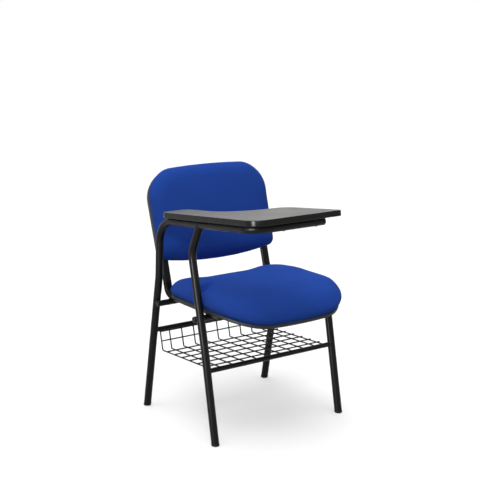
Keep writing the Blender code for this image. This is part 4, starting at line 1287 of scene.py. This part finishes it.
@dataclass
class PadForm(ABC):
    """A padded panel: its outline, where a height above it goes, and the section of its cushion.

    Attributes:
        crown: height of the cushion's middle above the panel.
        wall: thickness of the moulded rim.
        rim: how far the rim stands up round the cushion.
        shoulder: inset of the point where the crown turns into the side.
        base_inset: inset of the underside.
        base_h: height of the underside above the panel.
        swell_from: height above which the swelling acts, in rims.
        held_to: height up to which the cloth is held, in rims.
        grid: cells along each side of the cloth.
    """

    crown: float = 0.066
    wall: float = 0.003
    rim: float = 0.005
    shoulder: float = 0.032
    base_inset: float = 0.0036
    base_h: float = 0.0006
    swell_from: float = 2.0
    held_to: float = 1.6
    grid: int = 76

    @abstractmethod
    def outline(self) -> Array:
        """Return the panel's outline in its own plane, counter-clockwise."""

    @abstractmethod
    def lift(self, flat: Array, height: Array) -> Array:
        """Return chair positions of points of the plane at a height above it."""

    def swell(self, flat: Array) -> Array:
        """Return the share of the crown at each point of the plane."""
        return np.ones(flat.shape[:-1])

    def bulge(self, flat: Array, share: Array) -> Array:
        """Return how far the side stands out beyond the section at each point."""
        return np.zeros_like(share)

    def press(self, points: Array) -> Array:
        """Return points kept out of what stands beside the cushion."""
        return points

    def middle(self) -> tuple[Array, Array]:
        """Return the centre and the half sizes of the outline's box."""
        low, high = self.outline().min(0), self.outline().max(0)
        return (low + high) / 2, (high - low) / 2

    def spoke(self, angle: Array) -> Array:
        """Return the outline's points seen from its centre at given angles.

        Args:
            angle: angles in radians.

        Returns:
            Points relative to the centre.
        """
        centre, _ = self.middle()
        edge = spread_points(self.outline(), count=1440) - centre
        around = np.arctan2(edge[:, 1], edge[:, 0])
        order = np.argsort(around)
        reach = np.interp(angle, around[order], np.linalg.norm(edge, axis=1)[order], period=2.0 * math.pi)
        return np.stack((reach * np.cos(angle), reach * np.sin(angle)), -1)

    def section(self) -> Array:
        """Return the cushion's section as rows of ring size, inset and share of the crown, crown first.

        Returns:
            The rows.
        """
        s = self.shoulder
        tuck = (self.rim + 0.0003) / self.crown
        crown = [(size, s, share) for size, share in (
            (0.00, 1.000), (0.20, 1.000), (0.45, 0.999), (0.72, 0.985), (0.88, 0.965), (1.00, 0.930))]
        side = [(1.00, inset, share) for inset, share in (
            (0.0140, 0.810), (0.0030, 0.640), (-0.0030, 0.450), (-0.0040, 0.270), (-0.0010, 0.150),
            (0.0034, tuck), (self.base_inset, 0.010))]
        return np.array(crown + side)

    def cloth(self) -> tuple[Skin, Array]:
        """Return the closed cushion and which of its vertices are held.

        A square grid is bent into a disc by x = a sqrt(1 - b^2 / 2), y = b sqrt(1 - a^2 / 2). The
        disc's angle picks a spoke of the outline and its radius a place along the section, at equal
        steps of cloth. A second, flat grid closes the cushion below and shares the first one's rim.

        Returns:
            The surface with its cloth map, and True for each vertex of the underside.
        """
        n = self.grid
        centre, half = self.middle()
        mean = half.mean()
        scale = (mean, 1.0, self.crown)
        knots = smooth_curve(self.section() * scale, samples=161) / scale
        reach = (mean - knots[:, 1]) * knots[:, 0]
        run = np.concatenate(([0.0], np.cumsum(np.hypot(np.diff(reach), np.diff(knots[:, 2] * self.crown)))))
        line = np.linspace(-1.0, 1.0, n + 1)
        a, b = np.meshgrid(line, line, indexing="ij")
        disc = np.stack((a * np.sqrt(1 - b * b / 2), b * np.sqrt(1 - a * a / 2)), -1)
        radius = np.minimum(np.linalg.norm(disc, axis=-1), 1.0)
        angle = np.arctan2(disc[..., 1], disc[..., 0])
        at = radius * run[-1]
        size, inset, share = (np.interp(at, run, knots[:, k]) for k in range(3))
        spoke = self.spoke(angle)
        outward = unit(np.where(radius[..., None] > 0, spoke, 1.0))
        flat = centre + spoke * size[..., None] * (1 - inset[..., None] / half)
        flat = flat + outward * self.bulge(flat, share)[..., None]
        height = share * self.crown
        free = height > self.rim * self.swell_from
        top = self.lift(flat, np.where(free, height * self.swell(flat), height))
        cloth = outward * at[..., None] * (np.linalg.norm(spoke, axis=-1) / mean)[..., None]
        below = centre + spoke * (1 - self.base_inset / half) * radius[..., None]
        base = self.lift(below, np.full(radius.shape, self.base_h))

        number = np.arange((n + 1) ** 2).reshape(n + 1, n + 1)
        inside = np.zeros_like(number, dtype=bool)
        inside[1:-1, 1:-1] = True
        low = number.copy()
        low[inside] = np.arange(inside.sum()) + number.size

        def quads(ids: NDArray[np.int64]) -> NDArray[np.int64]:
            """Return the four-sided faces of a grid of vertex numbers."""
            return np.stack((ids[:-1, :-1], ids[1:, :-1], ids[1:, 1:], ids[:-1, 1:]), -1).reshape(-1, 4)

        faces = np.concatenate((quads(number), quads(low)[:, ::-1])).tolist()
        points = np.concatenate((top.reshape(-1, 3), base[inside]))
        uv = np.concatenate((cloth.reshape(-1, 2), cloth[inside]))
        low_edge = height.reshape(-1) < self.rim * self.held_to
        held = np.concatenate((low_edge, np.ones(inside.sum(), dtype=bool)))
        return Skin(points, faces, uv), held


@dataclass
class SeatForm(PadForm):
    """The seat: bowed waterfall front, dished towards the rear."""

    crown: float = 0.070
    half_w: float = 0.2334
    front_y: float = -0.300
    rear_y: float = 0.135
    bow: float = 0.018
    front_r: float = 0.125
    rear_r: float = 0.085
    drop: float = 0.0300
    drop_start: float = -0.196
    drop_power: float = 1.5
    dish: float = 0.41
    dish_run: float = 0.20
    dish_relief: float = 0.50
    dish_sides: tuple[float, float] = (0.07, 0.20)
    tray_z: float = 0.4166
    lip: float = 0.002
    groove: float = 0.035
    groove_y: float = -0.073
    groove_turn: float = 0.30
    groove_front: float = 0.022
    groove_rear: float = 0.011
    groove_fade: float = 0.10
    groove_full: float = 0.20
    overhang: float = 0.0045
    overhang_x: tuple[float, float] = (-0.05, 0.20)
    overhang_share: float = 0.40
    overhang_spread: float = 0.18
    leg_gap: float = 0.0008
    steel: SteelFrame = field(default_factory=SteelFrame)

    def outline(self) -> Array:
        """Return the seat's outline: a rounded rectangle whose front bows out.

        Returns:
            Points, one (x, y) row each.
        """
        w = self.half_w
        line = rounded_polygon([(w, self.rear_y, self.rear_r), (-w, self.rear_y, self.rear_r),
                                (-w, self.front_y, self.front_r), (w, self.front_y, self.front_r)])
        line = spread_points(line, count=360)
        share = np.clip((self.front_y + self.front_r - line[:, 1]) / self.front_r, 0.0, 1.0)
        line[:, 1] -= self.bow * share * (1 - (line[:, 0] / w) ** 2)
        return line

    def lift(self, flat: Array, height: Array) -> Array:
        """Return chair positions: straight up, less the waterfall's drop, a power of the depth at the front.

        Args:
            flat: points of the seat's plane.
            height: heights above the tray's floor.

        Returns:
            Positions in the chair's frame.
        """
        run = self.drop_start - (self.front_y - self.bow)
        share = np.maximum((self.drop_start - flat[..., 1]) / run, 0.0)
        z = self.tray_z + self.wall + height - self.drop * share ** self.drop_power
        return np.concatenate((flat, z[..., None]), -1)

    def swell(self, flat: Array) -> Array:
        """Return the share of the crown: full in front, less towards the middle of the rear edge.

        A soft crease runs in from the right side, beside the leg, where the thick front part meets
        the dish. It turns rearwards as it fades, and it is shallow in front and steep behind.

        Args:
            flat: points of the seat's plane.

        Returns:
            Shares of the crown.
        """
        x, y = flat[..., 0], flat[..., 1]
        relief = 1 - self.dish_relief * smoothstep(np.abs(x), *self.dish_sides)
        share = 1 - self.dish * relief * smoothstep(y, self.rear_y - self.dish_run, self.rear_y)
        run = y - self.groove_y - self.groove_turn * (x + self.half_w)
        width = np.where(run < 0, self.groove_front, self.groove_rear)
        reach = smoothstep(-x, self.groove_fade, self.groove_full)
        return share - self.groove / self.crown * reach * bell(run, 0.0, width)

    def bulge(self, flat: Array, share: Array) -> Array:
        """Return how far the side stands out: half-way up, more on the open left side than by the leg.

        Args:
            flat: points of the seat's plane.
            share: shares of the crown.

        Returns:
            Distances.
        """
        reach = self.overhang * smoothstep(flat[..., 0], *self.overhang_x)
        return reach * bell(share, self.overhang_share, self.overhang_spread)

    def press(self, points: Array) -> Array:
        """Return points kept out of the right front leg, whose side presses the foam in.

        Args:
            points: positions in the chair's frame.

        Returns:
            The positions, moved inwards along X where they were inside the leg.
        """
        s = self.steel
        axis_y = s.front_leg(s.front_knee_z) + s.shin_slope * (points[:, 2] - s.front_knee_z)
        off = (points[:, 1] - axis_y) / math.hypot(1, s.shin_slope)
        room = np.maximum((s.leg_r + self.leg_gap) ** 2 - off ** 2, 0.0)
        face = np.where(room > 0, np.sqrt(room) - s.leg_x, -1.0)
        return np.stack((np.maximum(points[:, 0], face), points[:, 1], points[:, 2]), -1)


@dataclass
class BackForm(PadForm):
    """The backrest: rounded top, bowed bottom, leaning back."""

    crown: float = 0.048
    half_w: float = 0.2345
    bottom_half_w: float = 0.230
    bottom: float = 0.1245
    height: float = 0.301
    top_bow: float = 0.012
    bottom_bow: float = 0.022
    top_r: float = 0.092
    bottom_r: float = 0.020
    shell_crown: float = 0.005
    shell_depth: float = 0.0243
    steel: SteelFrame = field(default_factory=SteelFrame)

    def outline(self) -> Array:
        """Return the backrest's outline, seen from the front, as x and height along the uprights.

        Returns:
            Points, one row each.
        """
        top = self.bottom + self.height - self.top_bow
        line = rounded_polygon([(self.half_w, top, self.top_r), (-self.half_w, top, self.top_r),
                                (-self.bottom_half_w, self.bottom, self.bottom_r),
                                (self.bottom_half_w, self.bottom, self.bottom_r)])
        line = spread_points(line, count=420)
        middle = (self.bottom + top) / 2
        bow = np.where(line[:, 1] > middle, self.top_bow, -self.bottom_bow)
        share = np.minimum(np.abs(line[:, 1] - middle) / (top - middle), 1.0)
        line[:, 1] += bow * share ** 4 * (1 - (line[:, 0] / self.half_w) ** 2)
        return line

    def lift(self, flat: Array, height: Array) -> Array:
        """Return chair positions: out of the leaning plane towards the sitter.

        Args:
            flat: points of the backrest's plane.
            height: heights in front of the board's back.

        Returns:
            Positions in the chair's frame.
        """
        s = self.steel
        tilt = math.atan(s.recline)
        out = -(s.seat_tube_t / 2 + s.gap + height)
        local = np.stack((flat[..., 0], out, flat[..., 1]), -1)
        placed = Skin(local.reshape(-1, 3), []).turned(tilt, vec(0, s.back_foot_y, s.seat_tube_z))
        return placed.points.reshape(local.shape)


@dataclass
class Cushion:
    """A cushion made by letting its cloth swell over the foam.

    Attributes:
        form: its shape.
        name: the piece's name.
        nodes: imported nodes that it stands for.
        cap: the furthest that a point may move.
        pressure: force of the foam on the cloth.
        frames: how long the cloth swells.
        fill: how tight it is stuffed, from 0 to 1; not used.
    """

    form: PadForm
    name: str
    nodes: tuple[str, ...]
    cap: float = 0.005
    pressure: float = 4.0
    frames: int = 20
    fill: float = 0.9

    def build(self, shop: Workshop) -> None:
        """Make the cushion, swell its cloth and smooth it.

        Args:
            shop: makes the piece.
        """
        skin, held = self.form.cloth()
        obj = shop.piece(self.name, skin, Slot.CLOTH, self.nodes, sharp=80.0)
        self._swell(obj, held, shop.shift)
        smooth = obj.modifiers.new("smooth", "SUBSURF")
        smooth.levels = 1
        smooth.render_levels = 1

    def _swell(self, obj: bpy.types.Object, held: NDArray[np.bool_], shift: Array) -> None:
        """Run the cloth with the underside held, then keep its shape.

        Args:
            obj: the cushion.
            held: which vertices don't move.
            shift: from the chair's frame to the model's.
        """
        mesh = obj.data
        rest = np.empty(len(mesh.vertices) * 3)
        mesh.vertices.foreach_get("co", rest)
        rest = rest.reshape(-1, 3)
        group = obj.vertex_groups.new(name="held")
        group.add(np.flatnonzero(held).tolist(), 1.0, "REPLACE")
        modifier = obj.modifiers.new("swell", "CLOTH")
        cloth = modifier.settings
        cloth.quality = 6
        cloth.mass = 0.3
        cloth.tension_stiffness = 15.0
        cloth.compression_stiffness = 15.0
        cloth.shear_stiffness = 8.0
        cloth.bending_stiffness = 0.5
        cloth.use_pressure = True
        cloth.uniform_pressure_force = self.pressure
        cloth.vertex_group_mass = group.name
        cloth.effector_weights.gravity = 0.0
        modifier.collision_settings.use_collision = False
        modifier.point_cache.frame_start = 1
        modifier.point_cache.frame_end = self.frames
        scene = bpy.context.scene
        for number in range(1, self.frames + 1):
            scene.frame_set(number)
        found = np.empty(len(mesh.vertices) * 3)
        obj.evaluated_get(bpy.context.evaluated_depsgraph_get()).data.vertices.foreach_get("co", found)
        move = self._even(mesh, found.reshape(-1, 3) - rest, held)
        length = np.linalg.norm(move, axis=1)
        LOG.info("%s: cloth moved %.4f at most, %.4f on average", self.name, length.max(), length.mean())
        move *= min(1.0, self.cap / float(length.max()))
        obj.modifiers.remove(modifier)
        obj.vertex_groups.remove(group)
        scene.frame_set(1)
        placed = self.form.press(rest + move - shift) + shift
        mesh.vertices.foreach_set("co", placed.astype(np.float32).ravel())
        mesh.update()

    @staticmethod
    def _even(mesh: bpy.types.Mesh, move: Array, held: NDArray[np.bool_], rounds: int = 30) -> Array:
        """Return a move evened out over the cloth, as foam does: each round takes the mean along edges.

        Args:
            mesh: the cushion's mesh.
            move: how far each vertex moved.
            held: which vertices don't move.
            rounds: how often to even it.

        Returns:
            The evened move.
        """
        edges = np.empty(len(mesh.edges) * 2, dtype=np.int32)
        mesh.edges.foreach_get("vertices", edges)
        a, b = edges.reshape(-1, 2).T
        count = np.bincount(edges, minlength=len(move))[:, None]
        for _ in range(rounds):
            total = np.zeros_like(move)
            np.add.at(total, a, move[b])
            np.add.at(total, b, move[a])
            move = np.where(held[:, None], 0.0, (move + total / count) / 2)
        return move


@dataclass
class Mouldings:
    """The black tray under the seat and the black shell behind the backrest."""

    seat: SeatForm
    back: BackForm
    fillet: float = 0.003
    shell_inset: float = 0.015

    def build(self, shop: Workshop) -> None:
        """Make the tray and the shell.

        Args:
            shop: makes the pieces.
        """
        shop.piece("seat_pan", self._tray(), Slot.SHELL, ["seat_tray"], sharp=50.0)
        shop.piece("back_cover_shell", self._shell(), Slot.SHELL, ["back_shell"], sharp=50.0)

    @staticmethod
    def _rings(form: PadForm, section: Array) -> Array:
        """Return rings round a panel's outline from rows of ring size, inset and height.

        Args:
            form: the panel.
            section: the rows.

        Returns:
            Rings as (row, place on the outline, 3).
        """
        centre, half = form.middle()
        edge = spread_points(form.outline(), count=240) - centre
        flat = centre + edge[None] * section[:, 0, None, None] * (1 - section[:, 1, None, None] / half)
        return form.lift(flat, np.broadcast_to(section[:, 2, None], flat.shape[:2]))

    @staticmethod
    def _rim(form: PadForm) -> Array:
        """Return the section of a panel's rim: a half circle over its wall, from inside to outside.

        Args:
            form: the panel.

        Returns:
            Rows of ring size, inset and height.
        """
        a = np.linspace(0.0, math.pi, 9)
        r = form.wall / 2
        return np.stack((np.ones_like(a), r + r * np.cos(a), form.rim - r + r * np.sin(a)), -1)

    def _tray(self) -> Skin:
        """Return the tray: a floor with a rounded rim above and a rounded lip below, round the outline.

        Returns:
            The closed tray.
        """
        f = self.seat
        a = np.linspace(0.0, math.pi, 9)
        r = f.wall / 2
        low = -f.wall - f.lip
        lip = np.stack((np.ones_like(a), r - r * np.cos(a), low + r - r * np.sin(a)), -1)
        bed = np.array((0.02, 0.30, 0.55, 0.70, 0.85, 0.95, 1.0))
        wall = np.full_like(bed, f.wall)
        top = np.stack((bed, wall, np.zeros_like(bed)), -1)
        turn, r = np.linspace(0.0, 0.5 * math.pi, 5), self.fillet
        web = np.stack((np.ones_like(turn), f.wall + r * (1 - np.cos(turn)),
                        -f.wall - r * (1 - np.sin(turn))), -1)
        under = np.stack((bed, wall, -wall), -1)[-2::-1]
        return rings_skin(self._rings(f, np.concatenate((top, self._rim(f), lip, web, under))))

    def _shell(self) -> Skin:
        """Return the shell: a dish with a rounded rim, rounded shoulders and a low crown behind.

        Returns:
            The closed shell.
        """
        f = self.back
        depth = f.shell_depth
        side = np.array([(1.0, inset, -share * depth) for inset, share in (
            (0.0, 0.0), (0.0008, 0.30), (0.0022, 0.55), (0.0050, 0.80), (0.0085, 0.93),
            (self.shell_inset, 1.0))])
        side = smooth_curve(side, samples=16)
        rings = np.array((0.96, 0.88, 0.72, 0.55, 0.40, 0.22, 0.02))
        dome = np.stack((rings, np.full_like(rings, self.shell_inset),
                         -depth - f.shell_crown * (1 - rings ** 2)), -1)
        bed = f.wall - depth
        inner = np.array([(size, f.wall + inset, height) for size, inset, height in (
            (0.02, 0.0, bed - f.shell_crown), (0.40, 0.010, bed), (0.90, 0.010, bed),
            (1.0, 0.004, -0.75 * depth), (1.0, 0.0, -0.2 * depth), (1.0, 0.0, 0.0))])
        return rings_skin(self._rings(f, np.concatenate((inner, self._rim(f), side, dome))))


# Tablet and fasteners


@dataclass
class WritingTablet:
    """The writing tablet: laminated board and edge band."""

    form: TabletForm

    def build(self, shop: Workshop) -> None:
        """Make the board and its band.

        Args:
            shop: makes the pieces.
        """
        f = self.form
        outline = spread_points(self._outline(), count=420)
        along = unit(np.roll(outline, -1, 0) - np.roll(outline, 1, 0))
        inward = np.stack((-along[:, 1], along[:, 0]), -1)

        def level(inset: Array, z: Array) -> Array:
            """Return the outline moved inwards by each inset at each height."""
            flat = outline[None] + inset[:, None, None] * inward[None]
            return np.concatenate((flat, np.broadcast_to(z[:, None, None], (*flat.shape[:2], 1))), -1)

        board = rings_skin(level(np.full(2, f.band), np.array((-f.thick, 0.0)))).turned(f.tilt, f.origin)
        shop.piece("tablet_top", board, Slot.LAMINATE, ["tablet_board"])
        a = np.linspace(0.0, 0.5 * math.pi, 7)
        r = f.band_round
        inset = np.concatenate((r * (1 - np.sin(a)), r * (1 - np.cos(a)), (f.band, f.band)))
        z = np.concatenate((-r * (1 - np.cos(a)), -f.thick + r * (1 - np.sin(a)), (-f.thick, 0.0)))
        band = rings_skin(level(inset, z), loop=True).turned(f.tilt, f.origin)
        shop.piece("tablet_band", band, Slot.EDGE, ["tablet_edge_band"], sharp=50.0)

    def _outline(self) -> Array:
        """Return the tablet's outline in its own plane: an arm rest that widens through a cove.

        Returns:
            Points, one (x, y) row each.
        """
        f = self.form
        left, wide = f.right_x + f.arm_w, f.right_x + f.front_w
        return rounded_polygon([(f.right_x, 0, f.rear_r), (f.right_x, -f.length, f.front_right_r),
                                (wide, -f.length, f.front_left_r), (wide - f.taper, -f.neck, f.knee_r),
                                (left, -f.neck, f.cove_r), (left, 0, f.rear_r)], step=math.radians(3.0))


@dataclass
class Fasteners:
    """The bolts under the seat and the screws under the tablet."""

    steel: SteelFrame
    bolt_head_d: float = 0.0125
    bolt_head_h: float = 0.004
    screw_head_d: float = 0.009
    screw_head_h: float = 0.0012
    seat_bolt_y: tuple[float, float] = (-0.142, 0.035)
    arm_screw_y: tuple[float, ...] = (0.0, -0.215, -0.345)
    front_screw_x: tuple[float, ...] = (-0.150, -0.030)
    hexagon_share: float = 0.42
    cross_share: float = 0.55
    blade_share: float = 0.14
    sides: int = 72

    def build(self, shop: Workshop) -> None:
        """Make the visible heads.

        Args:
            shop: makes the pieces.
        """
        s = self.steel
        for end, y in zip(("front", "rear"), self.seat_bolt_y):
            for side, x in (("right", -s.seat_tube_x), ("left", s.seat_tube_x)):
                spot = vec(x, y, s.seat_tube_z - s.seat_tube_t / 2)
                head = self._head(spot, vec(0, 0, -1), self.bolt_head_d / 2, self.bolt_head_h, Recess.HEXAGON)
                shop.piece(f"seat_{end}_{side}_head", head, Slot.ZINC, [f"seat_{end}_{side}_bolt"])
        tilt = s.tablet.tilt
        down = vec(0, -math.sin(tilt), -math.cos(tilt))
        places = [(-s.leg_x, y) for y in self.arm_screw_y] + [(x, s.arm_front_y) for x in self.front_screw_x]
        for number, (x, y) in enumerate(places, start=1):
            spot = s.arm(x, y) + down * s.leg_r
            head = self._head(spot, down, self.screw_head_d / 2, self.screw_head_h, Recess.CROSS)
            shop.piece(f"tablet_head_{number}", head, Slot.ZINC, [f"tablet_screw_{number}"])

    def _head(self, spot: Array, way: Array, radius: float, height: float, recess: Recess) -> Skin:
        """Return a domed head with a tool recess.

        The dome's rings are circles; the recess's rings take their radius from the polar form of
        a hexagon, a / cos(angle from the nearest flat), or of a cross with square ends.

        Args:
            spot: centre of the head's seat.
            way: outward direction.
            radius: the head's radius.
            height: the head's height.
            recess: shape of the recess.

        Returns:
            The closed head.
        """
        a = np.linspace(0.0, 2.0 * math.pi, self.sides, endpoint=False)
        if recess is Recess.HEXAGON:
            flat = np.mod(a + math.pi / 6, math.pi / 3) - math.pi / 6
            hole = radius * self.hexagon_share / np.cos(flat)
        else:
            c, s = np.maximum(np.abs(np.cos(a)), 1e-6), np.maximum(np.abs(np.sin(a)), 1e-6)
            arm, half = radius * self.cross_share, radius * self.blade_share
            hole = np.maximum(np.minimum(arm / c, half / s), np.minimum(arm / s, half / c))
        t = np.linspace(0.0, 1.0, 7)
        rim = radius * np.sqrt(1 - (0.72 * t) ** 2)
        whole = np.ones(self.sides)
        rings = [(whole * radius * 0.9, -height * 0.4), (whole * radius, 0.0)]
        rings += [(whole * r, height * (0.30 + 0.62 * k)) for r, k in zip(rim, t)]
        rings += [(hole * wide, height * up)
                  for wide, up in ((1.06, 1.0), (1.0, 0.94), (0.92, 0.25), (0.05, 0.22))]
        across = vec(1, 0, 0)
        spokes = np.cos(a)[:, None] * across + np.sin(a)[:, None] * np.cross(way, across)
        return rings_skin(np.stack([spot + z * way + r[:, None] * spokes for r, z in rings]))


# Stage


@dataclass
class Studio:
    """Pale floor, soft light and the camera.

    Attributes:
        camera: the camera's place in the chair's frame.
        pitch: degrees that it looks down.
        turn: degrees that it looks to the side.
        lens: focal length on a 36 mm sensor.
        shift: lens shift across and up.
        floor_tone: share of the light that the floor returns where it is seen.
        floor_bounce: share of the light that the floor throws back on the chair.
        floor_glow: brightness that the floor adds where it is seen.
        ambient: brightness of the room round the chair.
        top_light: strength of the light from above.
        fill_light: strength of the even light from above, which throws no shadow.
        sky_angle: degrees of sky that each of these two covers.
        floor_side: half the floor's width.
    """

    camera: tuple[float, float, float] = (-1.9566, -2.8325, 1.3431)
    pitch: float = 12.5782
    turn: float = -34.6363
    lens: float = 79.28
    shift: tuple[float, float] = (-0.00625, 0.0137)
    floor_tone: float = 0.90
    floor_bounce: float = 0.28
    floor_glow: float = 0.02
    ambient: float = 0.34
    top_light: float = 0.90
    fill_light: float = 1.80
    sky_angle: float = 46.0
    floor_side: float = 60.0

    def build(self, shop: Workshop) -> None:
        """Make the floor, the lights and the camera.

        Args:
            shop: knows where the chair stands.
        """
        scene = bpy.context.scene
        scene.view_settings.view_transform = "Standard"
        self._floor()
        self._room(scene)
        self._lights(scene)
        self._camera(scene, shop.shift)

    def _lights(self, scene: bpy.types.Scene) -> None:
        """Hang the softboxes and the two lights from above.

        Args:
            scene: the scene to light.
        """
        front = ((-1.5, -2.0, 1.9), (0.0, -0.1, 0.6), (0.4, 0.4))
        self._lamp("front_softbox", *front, power=17.0)
        self._lamp("front_glint", *front, power=36.0, gloss_only=True)
        self._lamp("side_strip", (-2.7, -0.9, 0.9), (0.0, 0.0, 0.5), (0.6, 1.4), power=140.0, gloss_only=True)
        self._lamp("rear_softbox", (0.9, 1.9, 2.2), (0.0, -0.1, 0.5), (1.4, 1.4), power=6.0)
        for name, strength, lean, roll in (("top_light", self.top_light, 8.0, -3.0),
                                           ("fill_light", self.fill_light, 2.0, -20.0)):
            sky = bpy.data.lights.new(name, "SUN")
            sky.energy = strength
            sky.angle = math.radians(self.sky_angle)
            sky.use_shadow = name == "top_light"
            lamp = bpy.data.objects.new(name, sky)
            lamp.rotation_euler = (math.radians(lean), math.radians(roll), 0.0)
            scene.collection.objects.link(lamp)

    def _camera(self, scene: bpy.types.Scene, shift: Array) -> None:
        """Set up the camera.

        Args:
            scene: the scene that it looks at.
            shift: from the chair's frame to the model's.
        """
        data = bpy.data.cameras.new("camera")
        data.sensor_width = 36.0
        data.lens = self.lens
        data.shift_x, data.shift_y = self.shift
        data.clip_end = 200.0
        eye = bpy.data.objects.new("camera", data)
        eye.location = (np.array(self.camera) + shift).tolist()
        eye.rotation_euler = (math.radians(90.0 - self.pitch), 0.0, math.radians(self.turn))
        scene.collection.objects.link(eye)
        scene.camera = eye

    @staticmethod
    def _seen(sheet: NodeSheet) -> bpy.types.NodeSocket:
        """Return 1 for rays from the camera, off gloss or through glass.

        Args:
            sheet: the nodes that it goes into.

        Returns:
            The mask.
        """
        path = sheet.add("ShaderNodeLightPath")
        seen = sheet.math("MAXIMUM", path.outputs["Is Camera Ray"], path.outputs["Is Glossy Ray"])
        return sheet.math("MAXIMUM", seen, path.outputs["Is Transmission Ray"])

    def _floor(self) -> None:
        """Make the floor, which keeps the chair's shadow and reads as white."""
        mesh = bpy.data.meshes.new("floor")
        corners = self.floor_side * np.array(((-1, -1, 0), (1, -1, 0), (1, 1, 0), (-1, 1, 0)), dtype=float)
        mesh.from_pydata(corners.tolist(), [], [[0, 1, 2, 3]])
        mat = bpy.data.materials.new("pale_floor")
        mat.use_nodes = True
        sheet = NodeSheet(mat.node_tree)
        mat.node_tree.nodes.remove(mat.node_tree.nodes["Principled BSDF"])
        seen = self._seen(sheet)
        tone = sheet.math("MULTIPLY_ADD", seen, self.floor_tone - self.floor_bounce, self.floor_bounce)
        matte = sheet.add("ShaderNodeBsdfDiffuse", {"Color": tone})
        glow = sheet.add("ShaderNodeEmission", {"Strength": sheet.math("MULTIPLY", seen, self.floor_glow)})
        both = sheet.add("ShaderNodeAddShader", {0: matte.outputs[0], 1: glow.outputs[0]})
        sheet.tree.links.new(both.outputs[0], mat.node_tree.nodes["Material Output"].inputs["Surface"])
        mesh.materials.append(mat)
        obj = bpy.data.objects.new("floor", mesh)
        bpy.context.scene.collection.objects.link(obj)

    def _room(self, scene: bpy.types.Scene) -> None:
        """Make the room: white where it is seen, and an even light round the chair.

        Args:
            scene: the scene to light.
        """
        world = bpy.data.worlds.new("room")
        world.use_nodes = True
        scene.world = world
        sheet = NodeSheet(world.node_tree)
        back = world.node_tree.nodes["Background"]
        back.inputs["Color"].default_value = (1.0, 1.0, 1.0, 1.0)
        sheet.tree.links.new(sheet.math("MAXIMUM", self._seen(sheet), self.ambient), back.inputs["Strength"])

    @staticmethod
    def _lamp(name: str, place: tuple[float, float, float], target: tuple[float, float, float],
              size: tuple[float, float], power: float, gloss_only: bool = False) -> None:
        """Make a softbox.

        Args:
            name: the lamp's name.
            place: where it hangs.
            target: what it faces.
            size: its width and height.
            power: its power in watts.
            gloss_only: it is only seen in gloss, and lights nothing.
        """
        data = bpy.data.lights.new(name, "AREA")
        data.energy = power
        data.shape = "RECTANGLE"
        data.size, data.size_y = size
        lamp = bpy.data.objects.new(name, data)
        lamp.visible_camera = False
        lamp.visible_diffuse = not gloss_only
        lamp.location = place
        lamp.rotation_euler = (Vector(target) - Vector(place)).to_track_quat("-Z", "Y").to_euler()
        bpy.context.scene.collection.objects.link(lamp)


def dress_hidden(looks: Looks) -> None:
    """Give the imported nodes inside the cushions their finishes.

    Args:
        looks: each slot's material.
    """
    for name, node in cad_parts.items():
        if node.hide_render:
            continue
        finish = looks[Slot.PLYWOOD if name.endswith("_board") else Slot.ZINC]
        node.data.materials.clear()
        node.data.materials.append(finish)
        LOG.info("%s keeps its solid, finished in %s", name, finish.name)


def main() -> None:
    """Build the chair and its stage."""
    logging.basicConfig(level=logging.INFO, format="%(name)s: %(message)s")
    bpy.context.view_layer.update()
    looks = make_looks()
    shop = Workshop(looks)
    steel = SteelFrame()
    seat, back = SeatForm(), BackForm()
    steel.build(shop)
    TubeEnds(steel).build(shop)
    BookBasket(steel).build(shop)
    Mouldings(seat, back).build(shop)
    Cushion(seat, "seat_cushion", ("seat_cover", "seat_foam")).build(shop)
    Cushion(back, "back_cushion", ("back_cover", "back_foam")).build(shop)
    WritingTablet(steel.tablet).build(shop)
    Fasteners(steel).build(shop)
    dress_hidden(looks)
    Studio().build(shop)


if __name__ == "__main__":
    main()
